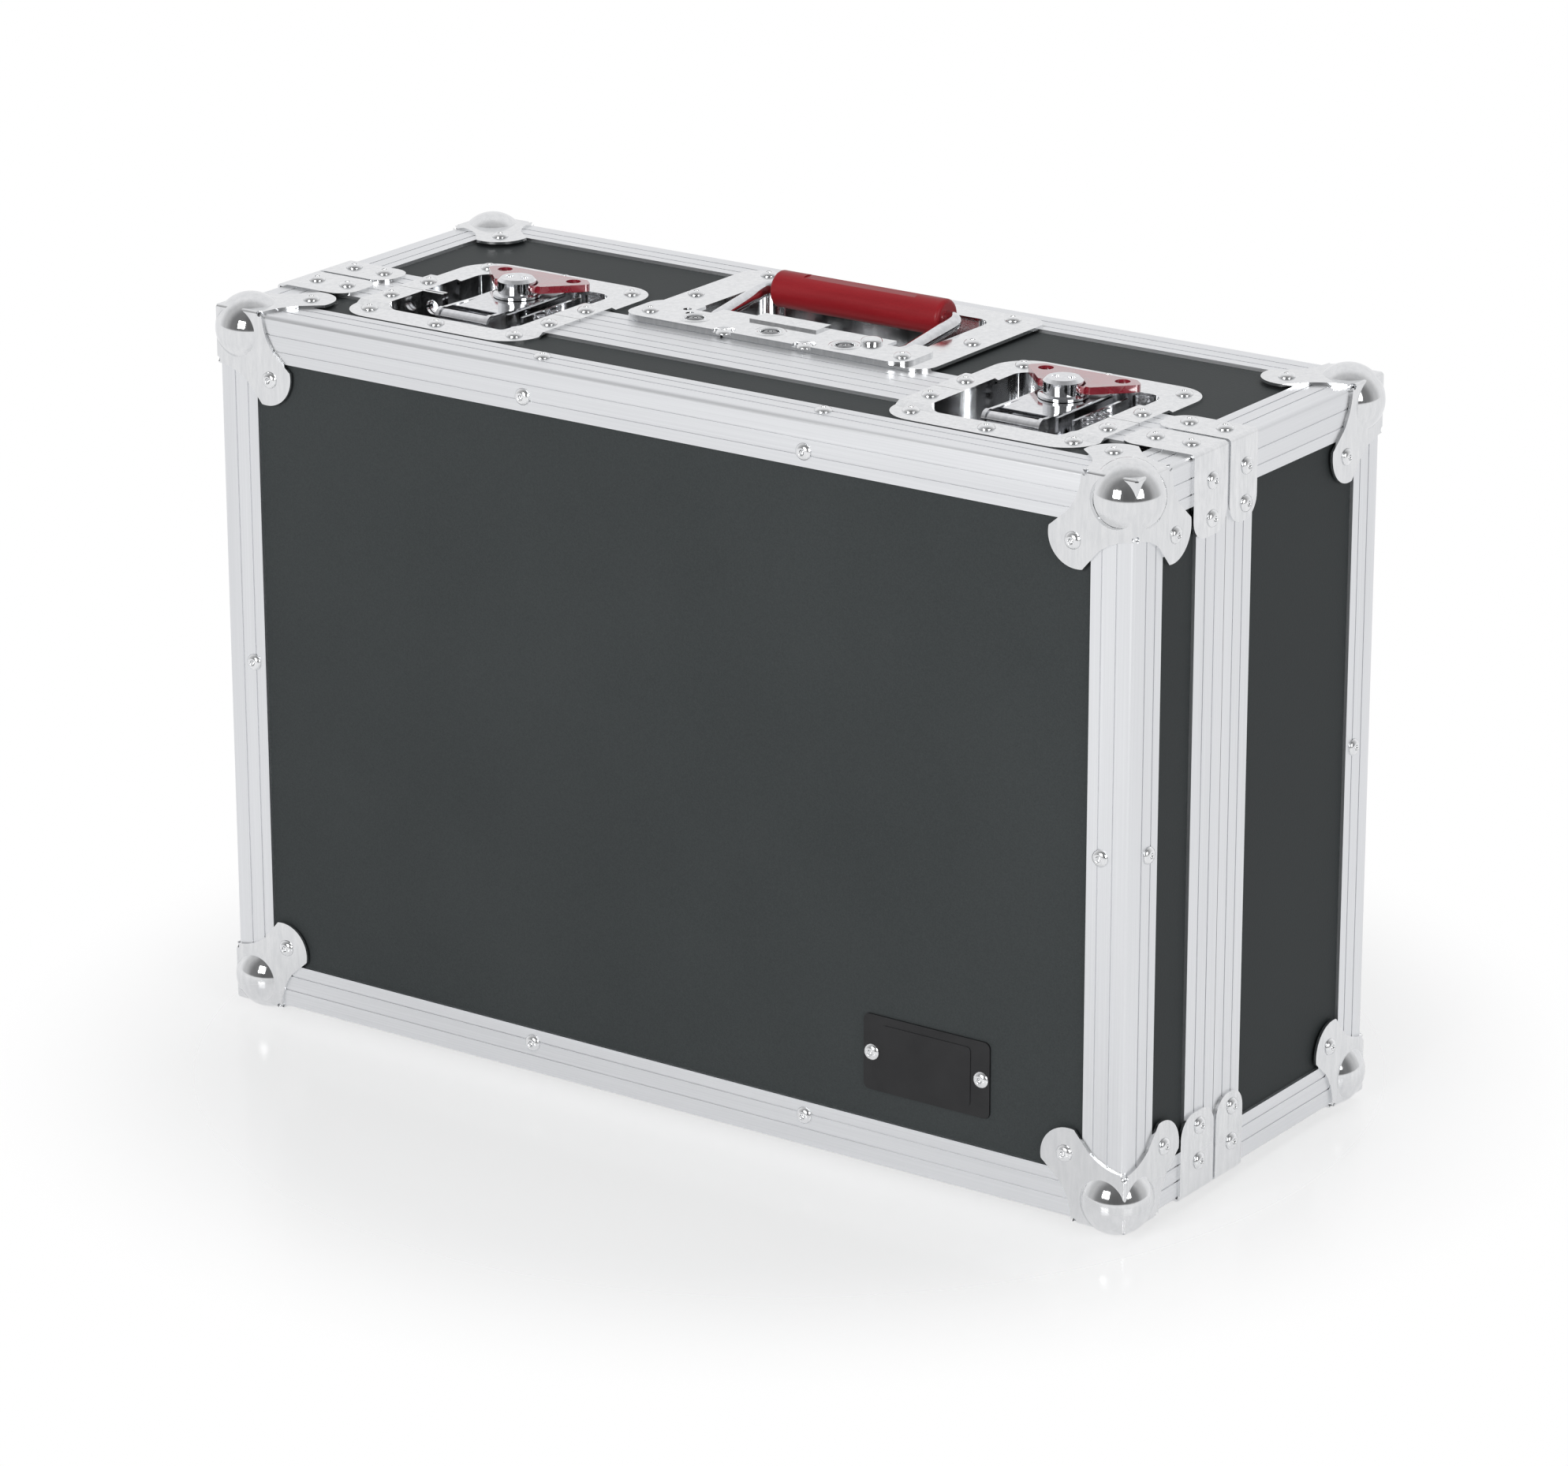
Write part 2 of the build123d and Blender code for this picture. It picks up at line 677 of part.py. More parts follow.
def make_ball_corner():
    """Pressed ball corner for the corner at the origin whose faces look along +X, +Y and +Z."""
    with BuildPart() as corner:
        for plane in (Plane.XY, Plane.YZ, Plane.ZX):
            with BuildSketch(plane):
                with BuildLine():
                    Polyline((0, -petal_root), (0, 0), (-petal_root, 0))
                    for swap in (False, True):
                        shape = []
                        for u, v in ((petal_root, 0.0), petal_side, petal_waist, petal_shoulder):
                            shape.append((-v, -u) if swap else (-u, -v))
                        ThreePointArc(shape[0], shape[1], shape[2])
                        Line(shape[2], shape[3])
                    ThreePointArc(
                        (-petal_shoulder[0], -petal_shoulder[1]),
                        (-petal_tip, -petal_tip),
                        (-petal_shoulder[1], -petal_shoulder[0]),
                    )
                make_face()
            extrude(amount=corner_sheet)
        with Locations((-ball_inset, -ball_inset, -ball_inset)):
            Sphere(ball_radius)
        for fold in ((-1, 0, 0), (0, -1, 0), (0, 0, -1)):
            with Locations(Plane(origin=(0, 0, 0), z_dir=fold)):
                Cylinder(corner_sheet, petal_root, align=(Align.CENTER, Align.CENTER, Align.MIN))
        reach = 2 * case_depth
        with Locations((-reach / 2, -reach / 2, -reach / 2)):
            Box(reach, reach, reach, mode=Mode.SUBTRACT)
        for spot, lean in (
            ((-relief_place, 0, 0), (0, 1, 1)),
            ((0, -relief_place, 0), (1, 0, 1)),
            ((0, 0, -relief_place), (1, 1, 0)),
        ):
            with Locations(Plane(origin=spot, z_dir=lean)):
                Cylinder(relief_radius, 6 * corner_sheet, mode=Mode.SUBTRACT)
    return corner.part


ball_corner = make_ball_corner()
for body, face_y in (("lid", -half_depth), ("base", half_depth)):
    for level, z_name in ((top_z, "top"), (base_z, "bottom")):
        for x_sign, x_name in ((-1, "left"), (1, "right")):
            placed = ball_corner
            if x_sign < 0:
                placed = mirror(placed, about=Plane.YZ)
            if face_y < 0:
                placed = mirror(placed, about=Plane.XZ)
            if level == base_z:
                placed = mirror(placed, about=Plane.XY)
            with BuildPart() as ball:
                add(Pos(x_sign * half_length, face_y, level) * placed)
                drill(petal_seats[body])
            parts[f"{body}_ball_corner_{z_name}_{x_name}"] = ball.part

# Corner clamps, folded over the frames where their runs meet
for body in ("lid", "base"):
    width = lid_clamp_width if body == "lid" else base_clamp_width
    near = parting_y + (-clamp_gap - width if body == "lid" else clamp_gap)
    with BuildPart() as clamps:
        for x_sign in (-1, 1):
            for z_sign in (-1, 1):
                outer_x = half_length + clamp_sheet
                outer_level = case_height / 2 + clamp_sheet
                with BuildSketch(Plane.XZ.offset(-near)):
                    with BuildLine():
                        Polyline(
                            (x_sign * (half_length - clamp_top_length), middle_z + z_sign * case_height / 2),
                            (x_sign * (half_length - clamp_top_length), middle_z + z_sign * outer_level),
                            (x_sign * outer_x, middle_z + z_sign * outer_level),
                            (x_sign * outer_x, middle_z + z_sign * (case_height / 2 - clamp_side_length)),
                            (x_sign * half_length, middle_z + z_sign * (case_height / 2 - clamp_side_length)),
                            (x_sign * half_length, middle_z + z_sign * case_height / 2),
                            close=True,
                        )
                    make_face()
                extrude(amount=-width)
        ends = clamps.edges().filter_by(lambda edge: abs(edge.length - clamp_sheet) < 0.01)
        round_ends = ends.filter_by(
            lambda edge: abs(abs(edge.center().X) - half_length + clamp_top_length) < 0.1
            or abs(abs(edge.center().Z - middle_z) - case_height / 2 + clamp_side_length) < 0.1
        )
        fillet(round_ends, radius=min(clamp_end_radius, width / 2 - 0.1))
        bends = clamps.edges().filter_by(Axis.Y).filter_by(
            lambda edge: abs(edge.center().X) > half_length + clamp_sheet / 2
            and abs(edge.center().Z - middle_z) > case_height / 2 + clamp_sheet / 2
        )
        fillet(bends, radius=fold_radius)
        drill(clamp_seats[body])
    parts[f"{body}_clamps"] = clamps.part

# Latch dishes: a flange that steps up over the frames and a pan below it, one half on each body


def make_dish(latch_x, is_base):
    low = top_z - leg_wall
    high = top_z
    front = parting_y - dish_front
    rear = parting_y + dish_rear
    step_front = parting_y - joggle_front
    step_rear = parting_y + joggle_rear
    under = [
        (front, low), (step_front - joggle_run, low), (step_front, high),
        (step_rear, high), (step_rear + joggle_run, low), (rear, low),
    ]
    over = [(y, z + dish_sheet) for y, z in reversed(under)]
    opening_middle = parting_y + (dish_opening_rear - dish_opening_front) / 2
    opening_depth = dish_opening_rear + dish_opening_front
    with BuildPart() as dish:
        with BuildSketch(Plane.YZ.offset(latch_x - dish_width / 2)):
            with BuildLine():
                Polyline(*under, *over, close=True)
            make_face()
        extrude(amount=dish_width)
        with BuildSketch(Plane.XY.offset(dish_floor_z - 5)):
            with Locations((latch_x, (front + rear) / 2)):
                RectangleRounded(dish_width, rear - front, dish_corner)
        extrude(amount=2 * dish_depth, mode=Mode.INTERSECT)
        with BuildSketch(Plane.XY.offset(dish_floor_z - dish_sheet)):
            with Locations((latch_x, opening_middle)):
                RectangleRounded(
                    dish_opening_width + 2 * dish_sheet,
                    opening_depth + 2 * dish_sheet,
                    dish_opening_corner + dish_sheet,
                )
        extrude(amount=dish_depth + dish_sheet - leg_wall)
        block(
            (latch_x - pan_half_width, latch_x + pan_half_width),
            (step_front, step_rear),
            (low - dish_sheet, high + dish_sheet / 2),
        )
        with BuildSketch(Plane.XY.offset(dish_floor_z)):
            with Locations((latch_x, opening_middle)):
                RectangleRounded(dish_opening_width, opening_depth, dish_opening_corner)
        extrude(amount=2 * dish_depth, mode=Mode.SUBTRACT)
        rim = base_rim_y if is_base else lid_rim_y
        split(bisect_by=Plane.XZ.offset(-rim), keep=Keep.BOTTOM if is_base else Keep.TOP)
        drill(latch_seats["base" if is_base else "lid"])
    return dish.part


def make_spindle(latch_x):
    """Turning post with its collar, cam and bevelled head."""
    collar_z = top_z + draw_plate_top + running_gap
    head_z = top_z + spindle_top
    shaft_bottom = dish_floor_z + running_gap
    with BuildPart() as spindle:
        with BuildSketch(Plane.XZ.offset(-spindle_y)):
            with BuildLine():
                Polyline(
                    (latch_x, shaft_bottom),
                    (latch_x + spindle_shaft_radius, shaft_bottom),
                    (latch_x + spindle_shaft_radius, collar_z),
                    (latch_x + collar_radius, collar_z),
                    (latch_x + collar_radius, collar_z + collar_height * 0.6),
                    (latch_x + spindle_radius, collar_z + collar_height),
                    (latch_x + spindle_radius, head_z - head_bevel),
                    (latch_x + spindle_radius - head_bevel, head_z),
                    (latch_x, head_z),
                    close=True,
                )
            make_face()
        revolve(axis=Axis((latch_x, spindle_y, 0), (0, 0, 1)))
        cam_top = top_z + draw_plate_top - draw_plate_thickness - running_gap
        with Locations((latch_x + cam_offset, spindle_y, cam_top)):
            Cylinder(cam_radius, cam_height, align=(Align.CENTER, Align.CENTER, Align.MAX))
        for x_sign in (-1, 1):
            with Locations((latch_x + x_sign * head_dimple_place, spindle_y + x_sign, head_z)):
                Cylinder(head_dimple_radius, 1.2, mode=Mode.SUBTRACT)
    return spindle.part


def make_lever(latch_x):
    """Butterfly lever, folded flat towards the rear, with its notch round the post."""
    rear = spindle_y + lever_reach
    with BuildPart() as lever:
        with BuildSketch(Plane.XY.offset(top_z + lever_bottom)):
            with BuildLine():
                Polyline(
                    (latch_x - lever_front_length / 2, spindle_y + 0.5),
                    (latch_x + lever_front_length / 2, spindle_y + 0.5),
                    (latch_x + lever_length / 2, rear - 5.5),
                    (latch_x + lever_length / 2 - 6, rear),
                    (latch_x - lever_length / 2 + 6, rear),
                    (latch_x - lever_length / 2, rear - 5.5),
                    close=True,
                )
            make_face()
            with Locations((latch_x, spindle_y)):
                Circle(lever_notch_radius, mode=Mode.SUBTRACT)
            with Locations((latch_x, spindle_y + lever_hole_back)):
                with GridLocations(lever_hole_spacing, 1, 2, 1):
                    Circle(lever_hole_radius, mode=Mode.SUBTRACT)
        extrude(amount=lever_thickness)
        corners = lever.edges().filter_by(Axis.Z).filter_by(
            lambda edge: abs(edge.center().X - latch_x) > lever_front_length / 2
        )
        fillet(corners, radius=2.5)
        pivot_z = top_z + lever_bottom + lever_thickness / 2
        pin_length = lever_notch_radius - spindle_radius + 1.5
        for x_sign in (-1, 1):
            with Locations(Plane(origin=(latch_x + x_sign * (spindle_radius + 0.1), spindle_y, pivot_z),
                                 z_dir=(x_sign, 0, 0))):
                Cylinder(lever_thickness / 2, pin_length, align=(Align.CENTER, Align.CENTER, Align.MIN))
    return lever.part


def make_draw_plate(latch_x):
    """Draw plate with the rolled nose and its two ears, reaching over the keeper."""
    plate_top = top_z + draw_plate_top
    front = parting_y - draw_plate_front
    rear = parting_y + draw_plate_rear
    nose_y = parting_y - nose_front
    nose_z = top_z - nose_drop
    half = draw_plate_width / 2
    with BuildPart() as draw:
        block((latch_x - half, latch_x + half), (front, rear), (plate_top - draw_plate_thickness, plate_top))
        for x_sign in (-1, 1):
            ear_x = latch_x + x_sign * (half - ear_thickness / 2) - ear_thickness / 2
            with BuildSketch(Plane.YZ.offset(ear_x)):
                with Locations((nose_y, nose_z)):
                    Circle(nose_radius + 0.8)
                with BuildLine():
                    Polyline(
                        (nose_y, nose_z + nose_radius + 0.8 - 0.4),
                        (front + ear_length, plate_top),
                        (front + ear_length, plate_top - ear_depth),
                        (nose_y, plate_top - ear_depth),
                        close=True,
                    )
                make_face()
            extrude(amount=ear_thickness)
        with Locations(Plane(origin=(latch_x, nose_y, nose_z), z_dir=(1, 0, 0))):
            Cylinder(nose_radius, draw_plate_width)
        slot_radius = spindle_shaft_radius + running_gap
        with BuildSketch(Plane.XY.offset(plate_top - 2 * draw_plate_thickness)):
            with Locations((latch_x, spindle_y + draw_travel / 2)):
                SlotCenterToCenter(draw_travel + 1, 2 * slot_radius, rotation=90)
        extrude(amount=3 * draw_plate_thickness, mode=Mode.SUBTRACT)
    return draw.part


for side, latch_x in latch_xs.items():
    parts[f"{side}_latch_dish_base"] = make_dish(latch_x, True)
    parts[f"{side}_latch_dish_lid"] = make_dish(latch_x, False)
    parts[f"{side}_latch_spindle"] = make_spindle(latch_x)
    parts[f"{side}_latch_lever"] = make_lever(latch_x)
    parts[f"{side}_latch_draw_plate"] = make_draw_plate(latch_x)

# Latch bases: channel on the dish floor that carries the post and guides the draw plate
rail_half = base_plate_width / 2
eye_x = latch_xs["left"] - dish_opening_width / 2 + running_gap
eye_hole_z = top_z - eye_hole_drop
with BuildPart() as latch_base_plates:
    for latch_x in latch_xs.values():
        span_y = (base_rim_y + running_gap, base_rim_y + dish_opening_rear - 3)
        block((latch_x - rail_half, latch_x + rail_half), span_y,
              (dish_floor_z, dish_floor_z + keeper_plate_thickness))
        for x_sign in (-1, 1):
            outer = latch_x + x_sign * rail_half
            inner = outer - x_sign * rail_thickness
            block((min(outer, inner), max(outer, inner)), span_y, (dish_floor_z, top_z - nose_drop))
        with Locations((latch_x, spindle_y, dish_floor_z)):
            Cylinder(spindle_shaft_radius + pin_clearance, 8, mode=Mode.SUBTRACT)
    block((eye_x, eye_x + eye_width), (base_rim_y + running_gap, base_rim_y + running_gap + eye_thickness),
          (dish_floor_z, top_z + eye_top))
    with Locations(Plane(origin=(eye_x + eye_width / 2, base_rim_y, eye_hole_z), z_dir=(0, 1, 0))):
        Cylinder(eye_hole_radius, 8, mode=Mode.SUBTRACT)
parts["latch_base_plates"] = latch_base_plates.part

# Keepers on the lid's side: a lip under the nose, and the left one has the padlock eye
with BuildPart() as latch_keepers:
    lip_top = top_z - nose_drop - nose_radius - keeper_lip_gap
    lip_y = lid_rim_y - nose_front + nose_radius
    half = draw_plate_width / 2 - ear_thickness - keeper_side_gap
    for latch_x in latch_xs.values():
        block((latch_x - half, latch_x + half), (lid_rim_y - dish_opening_front + 2, lid_rim_y - 4),
              (dish_floor_z, dish_floor_z + keeper_plate_thickness))
        block((latch_x - half, latch_x + half),
              (lip_y, lip_y + keeper_lip_thickness), (dish_floor_z, lip_top))
    block((eye_x, eye_x + eye_width), (lid_rim_y - running_gap - eye_thickness, lid_rim_y - running_gap),
          (dish_floor_z, top_z + eye_top))
    with Locations(Plane(origin=(eye_x + eye_width / 2, lid_rim_y, eye_hole_z), z_dir=(0, 1, 0))):
        Cylinder(eye_hole_radius, 8, mode=Mode.SUBTRACT)
parts["latch_keepers"] = latch_keepers.part

# Two return springs beside each post, their lower leg against the rail
latch_spring = make_coil(
    latch_spring_radius, latch_spring_pitch, latch_spring_turns, latch_spring_wire,
    latch_spring_x - rail_half, 1.5,
)
with BuildPart() as latch_springs:
    for latch_x in latch_xs.values():
        for place in latch_spring_places:
            spring_z = dish_floor_z + latch_spring_wire / 2
            spot = Plane(
                origin=(latch_x + latch_spring_x, parting_y + place, spring_z),
                x_dir=(0, -1, 0),
                z_dir=(0, 0, 1),
            )
            add(spot.location * latch_spring)
parts["latch_springs"] = latch_springs.part

# Handle tray: flange over the frame and the rear edge, with the pan below
with BuildPart() as handle_tray:
    with BuildSketch(Plane.XY.offset(top_z)):
        with Locations((0, handle_y + handle_depth / 2)):
            RectangleRounded(handle_length, handle_depth, handle_corner)
    extrude(amount=handle_sheet)
    with BuildSketch(Plane.XY.offset(top_z - tray_drop - tray_wall)):
        with Locations((0, tray_y + tray_depth_y / 2)):
            RectangleRounded(tray_length + 2 * tray_wall, tray_depth_y + 2 * tray_wall,
                             tray_corner + tray_wall)
    extrude(amount=tray_drop + tray_wall)
    with BuildSketch(Plane.XY.offset(top_z - tray_drop)):
        with Locations((0, tray_y + tray_depth_y / 2)):
            RectangleRounded(tray_length, tray_depth_y, tray_corner)
    extrude(amount=2 * tray_drop, mode=Mode.SUBTRACT)
    drill(handle_seats["plate"] + handle_seats["bracket"])
parts["handle_tray"] = handle_tray.part

# Front bracket: second plate over the tray's front, with lugs that carry the bail
with BuildPart() as handle_bracket:
    bracket_z = top_z + handle_sheet
    with BuildSketch(Plane.XY.offset(bracket_z)):
        with Locations(((bracket_right - bracket_left) / 2, handle_y + bracket_depth / 2)):
            RectangleRounded(bracket_left + bracket_right, bracket_depth, bracket_corner)
        for x_sign in (-1, 1):
            notch_front = bail_pivot_y - bail_radius - arm_notch_clearance
            with Locations((x_sign * bail_half_width, notch_front + bracket_depth / 2)):
                Rectangle(arm_notch_width, bracket_depth, mode=Mode.SUBTRACT)
        for x, y in notch_rivets:
            with Locations((x, parting_y + y)):
                Circle(rivet_head_radius + 1.2, mode=Mode.SUBTRACT)
            with Locations((x, handle_y)):
                Rectangle(2 * rivet_head_radius + 2.4, 2 * (parting_y + y - handle_y), mode=Mode.SUBTRACT)
        for x, y in dished_rivets:
            with Locations((x, parting_y + y)):
                Circle(rivet_head_radius + 0.8, mode=Mode.SUBTRACT)
        for x, y in ((-62.0, 37.0), (-57.0, 32.0)):
            with Locations((x, parting_y + y)):
                Circle(dimple_radius, mode=Mode.SUBTRACT)
    extrude(amount=handle_sheet)
    block((-rib_left, rib_right), (handle_y + bracket_depth - rib_depth + 3, handle_y + bracket_depth + 3),
          (bracket_z, bracket_z + handle_sheet + rib_height))
    bump_spot = (bail_half_width - 12.5, handle_y + bracket_depth - bump_radius - 4, bracket_z + handle_sheet)
    with Locations(bump_spot):
        Cylinder(bump_radius, bump_height, align=(Align.CENTER, Align.CENTER, Align.MIN))
    bump_rim = handle_bracket.edges().filter_by(GeomType.CIRCLE).sort_by(Axis.Z)[-1]
    fillet(bump_rim, radius=bump_height * 0.7)
    for x_sign in (-1, 1):
        lug_x = x_sign * lug_place
        block((lug_x - lug_thickness / 2, lug_x + lug_thickness / 2),
              (bail_pivot_y - lug_width / 2, bail_pivot_y + lug_width / 2 - 3),
              (top_z - lug_drop, bracket_z))
    with Locations(Plane(origin=(0, bail_pivot_y, bail_pivot_z), z_dir=(1, 0, 0))):
        Cylinder(journal_radius + journal_clearance, 2 * lug_place + 2 * lug_thickness, mode=Mode.SUBTRACT)
    drill(handle_seats["bracket"])
parts["handle_bracket"] = handle_bracket.part

# Bail: round bar from one lug to the other, folded to the rear
with BuildPart() as handle_bail:
    with BuildLine():
        FilletPolyline(
            (bail_stub_end, bail_pivot_y, bail_pivot_z),
            (bail_half_width, bail_pivot_y, bail_pivot_z),
            (bail_half_width, grip_y, grip_z),
            (-bail_half_width, grip_y, grip_z),
            (-bail_half_width, bail_pivot_y, bail_pivot_z),
            (-bail_stub_end, bail_pivot_y, bail_pivot_z),
            radius=[stub_corner, bail_corner, bail_corner, stub_corner],
        )
    with BuildSketch(Plane(origin=(bail_stub_end, bail_pivot_y, bail_pivot_z), z_dir=(1, 0, 0))):
        Circle(bail_radius)
    sweep()
    for x_sign in (-1, 1):
        journal_tip = (x_sign * journal_end, bail_pivot_y, bail_pivot_z)
        with Locations(Plane(origin=journal_tip, z_dir=(x_sign, 0, 0))):
            Cylinder(journal_radius, bail_stub_end - journal_end,
                     align=(Align.CENTER, Align.CENTER, Align.MIN))
parts["handle_bail"] = handle_bail.part

# Grip: moulded sleeve on the bail's crossbar, with a bare recess for a label
with BuildPart() as handle_grip:
    with Locations(Plane(origin=(0, grip_y, grip_z), z_dir=(1, 0, 0))):
        Cylinder(grip_radius, grip_length)
    rims = handle_grip.edges().filter_by(GeomType.CIRCLE)
    fillet(rims, radius=grip_edge)
    with Locations(Plane(origin=(0, grip_y, grip_z), z_dir=(1, 0, 0))):
        Cylinder(bail_radius + grip_bore_clearance, grip_length + 10, mode=Mode.SUBTRACT)
    with Locations((0, grip_y, grip_z + grip_radius)):
        Box(label_length, label_width, 2 * label_depth, mode=Mode.SUBTRACT)
parts["handle_grip"] = handle_grip.part

# Return springs wound round the bail's journals, one leg up against the bracket
handle_spring = make_coil(
    handle_spring_radius, handle_spring_pitch, handle_spring_turns, handle_spring_wire,
    pivot_drop + handle_sheet, 1.5,
)
with BuildPart() as handle_springs:
    coil_length = handle_spring_pitch * (handle_spring_turns + 0.5)
    start_x = lug_place - lug_thickness / 2 - handle_spring_wire - coil_length
    for start in (start_x, -start_x - coil_length):
        spot = Plane(origin=(start, bail_pivot_y, bail_pivot_z), x_dir=(0, -1, 0), z_dir=(1, 0, 0))
        add(spot.location * handle_spring)
parts["handle_springs"] = handle_springs.part

# Rivets, one group for each body
for body in ("lid", "base"):
    groups = [(petal_seats[body], corner_sheet), (edge_seats[body], 0.0), (clamp_seats[body], clamp_sheet),
              (hinge_seats[body], hinge_sheet)]
    for lift in (low_lift, dish_sheet):
        level = [plane for plane in latch_seats[body] if abs(plane.origin.Z - top_z - lift) < 0.01]
        groups.append((level, lift))
    if body == "base":
        groups.append((handle_seats["plate"], handle_sheet))
        groups.append((handle_seats["bracket"], 2 * handle_sheet))
    else:
        groups.append((plate_seats, plate_lift))
    with BuildPart() as rivets:
        for seats, lift in groups:
            rivet = make_rivet(lift)
            add([plane.location * rivet for plane in seats])
    parts[f"{body}_rivets"] = rivets.part

# Hinges under the parting line
knuckle_length = (hinge_width - (knuckle_count - 1) * knuckle_gap) / knuckle_count


def add_leaves(body):
    """Both leaves of one body, with every second knuckle."""
    sign = -1 if body == "lid" else 1
    first = 1 if body == "lid" else 0
    for hinge_x in (-hinge_spacing / 2, hinge_spacing / 2):
        near = parting_y + sign * (knuckle_radius + knuckle_gap)
        far = parting_y + sign * hinge_leaf
        block((hinge_x - hinge_width / 2, hinge_x + hinge_width / 2), (min(near, far), max(near, far)),
              (base_z - hinge_sheet, base_z))
        for index in range(first, knuckle_count, 2):
            start = hinge_x - hinge_width / 2 + index * (knuckle_length + knuckle_gap)
            block((start, start + knuckle_length), (min(parting_y, near), max(parting_y, near)),
                  (base_z - hinge_sheet, base_z - 0.02))
            with Locations(Plane(origin=(start, parting_y, hinge_z), z_dir=(1, 0, 0))):
                Cylinder(knuckle_radius, knuckle_length, align=(Align.CENTER, Align.CENTER, Align.MIN))
        with Locations(Plane(origin=(hinge_x, parting_y, hinge_z), z_dir=(1, 0, 0))):
            Cylinder(hinge_pin_radius + pin_clearance, 2 * hinge_width, mode=Mode.SUBTRACT)


with BuildPart() as hinge_lid_leaves:
    add_leaves("lid")
    drill(hinge_seats["lid"])
parts["hinge_lid_leaves"] = hinge_lid_leaves.part

with BuildPart() as hinge_base_leaves:
    add_leaves("base")
    drill(hinge_seats["base"])
parts["hinge_base_leaves"] = hinge_base_leaves.part

with BuildPart() as hinge_pins:
    for hinge_x in (-hinge_spacing / 2, hinge_spacing / 2):
        with Locations(Plane(origin=(hinge_x, parting_y, hinge_z), z_dir=(1, 0, 0))):
            Cylinder(hinge_pin_radius, hinge_width)
parts["hinge_pins"] = hinge_pins.part

# Bare name plate, riveted to the lid's panel
with BuildPart() as name_plate:
    with BuildSketch(Plane.XZ.offset(half_depth - leg_wall)):
        with Locations((name_plate_x, base_z + name_plate_z)):
            RectangleRounded(name_plate_length, name_plate_height, name_plate_corner)
    extrude(amount=name_plate_thickness)
    drill(plate_seats)
    with BuildSketch(Plane.XZ.offset(half_depth - leg_wall + name_plate_thickness)):
        with Locations((name_plate_x, base_z + name_plate_z)):
            RectangleRounded(plate_field_length, plate_field_height, plate_field_corner)
    extrude(amount=plate_field_rise)
parts["name_plate"] = name_plate.part

# Foam: a floor sheet, a block built up of strips round its pockets, and the lid's pad
foam_x = (foam_edge - half_length, half_length - foam_edge)
foam_z = (base_z + foam_edge, top_z - foam_edge)
pan_bottom = min(dish_floor_z - dish_sheet, top_z - tray_drop - tray_wall)
base_foam_z = (foam_z[0], pan_bottom - foam_clearance)
floor_y = (half_depth - foam_edge - foam_floor_thickness, half_depth - foam_edge)
block_y = (base_rim_y + foam_rim_setback, floor_y[0])
pocket_z = middle_z - pocket_drop
pocket_xs = [(column - (pocket_columns - 1) / 2) * pocket_pitch_x - pocket_field_shift
             for column in range(pocket_columns)]
pocket_zs = [(row - (pocket_rows - 1) / 2) * pocket_pitch_z + pocket_z for row in range(pocket_rows)]
pocket_square = pocket_radius * math.sqrt(0.5)
corner_square = bay_corner * (1 - math.sqrt(0.5))
bay_x = (bay_shift - bay_width / 2 + corner_square, bay_shift + bay_width / 2 - corner_square)
bay_z = (pocket_z - bay_height / 2 + corner_square, pocket_z + bay_height / 2 - corner_square)


def bands(low, high, centres, half):
    """The stretches from low to high that lie between spans of one half-width about some centres."""
    edges = [low]
    for centre in centres:
        edges += [centre - half, centre + half]
    edges.append(high)
    return list(zip(edges[0::2], edges[1::2]))


def foam_cells():
    """Limits in X and Z of the glued strips that leave the pockets and the bay open."""
    cells = [((foam_x[0], bay_x[0]), span) for span in bands(*base_foam_z, pocket_zs, pocket_square)]
    for row_z in pocket_zs:
        row_span = (row_z - pocket_square, row_z + pocket_square)
        cells += [(span, row_span) for span in bands(foam_x[0], bay_x[0], pocket_xs, pocket_square)]
    cells.append(((bay_x[0], foam_x[1]), (base_foam_z[0], bay_z[0])))
    cells.append(((bay_x[0], foam_x[1]), (bay_z[1], base_foam_z[1])))
    cells.append(((bay_x[1], foam_x[1]), bay_z))
    return cells


def foam_strip(x_span, z_span):
    """One strip of the foam block, with its share of the round pockets and of the bay."""
    with BuildPart() as strip:
        block((x_span[0] + glue_line, x_span[1] - glue_line), block_y,
              (z_span[0] + glue_line, z_span[1] - glue_line))
        with BuildSketch(Plane.XZ.offset(-block_y[0])):
            with Locations(*[(x, z) for x in pocket_xs for z in pocket_zs]):
                Circle(pocket_radius)
            with Locations((bay_shift, pocket_z)):
                RectangleRounded(bay_width, bay_height, bay_corner)
        extrude(amount=-(block_y[1] - block_y[0]), mode=Mode.SUBTRACT)
    return strip.part


with BuildPart() as foam_floor:
    block(foam_x, floor_y, base_foam_z)
parts["base_foam_floor"] = foam_floor.part

strips = [foam_strip(x_span, z_span) for x_span, z_span in foam_cells()]
parts["base_foam_insert"] = Compound(children=[solid for strip in strips for solid in strip.solids()])

with BuildPart() as lid_foam:
    block(foam_x, (foam_edge - half_depth, foam_edge - half_depth + lid_foam_thickness), foam_z)
parts["lid_foam"] = lid_foam.part

os.makedirs("parts", exist_ok=True)
for name, part in parts.items():
    part.label = name
    export_step(part, f"parts/{name}.step")

for name, sizes in (
    ("latch springs", (latch_spring_radius, latch_spring_pitch, latch_spring_turns, latch_spring_wire)),
    ("handle springs", (handle_spring_radius, handle_spring_pitch, handle_spring_turns, handle_spring_wire)),
):
    print(f"{name}: least gap of the wire to itself {coil_gap(*sizes):.2f} mm")
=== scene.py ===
import json
import math

import bmesh
import bpy
from mathutils import Matrix, Vector, noise


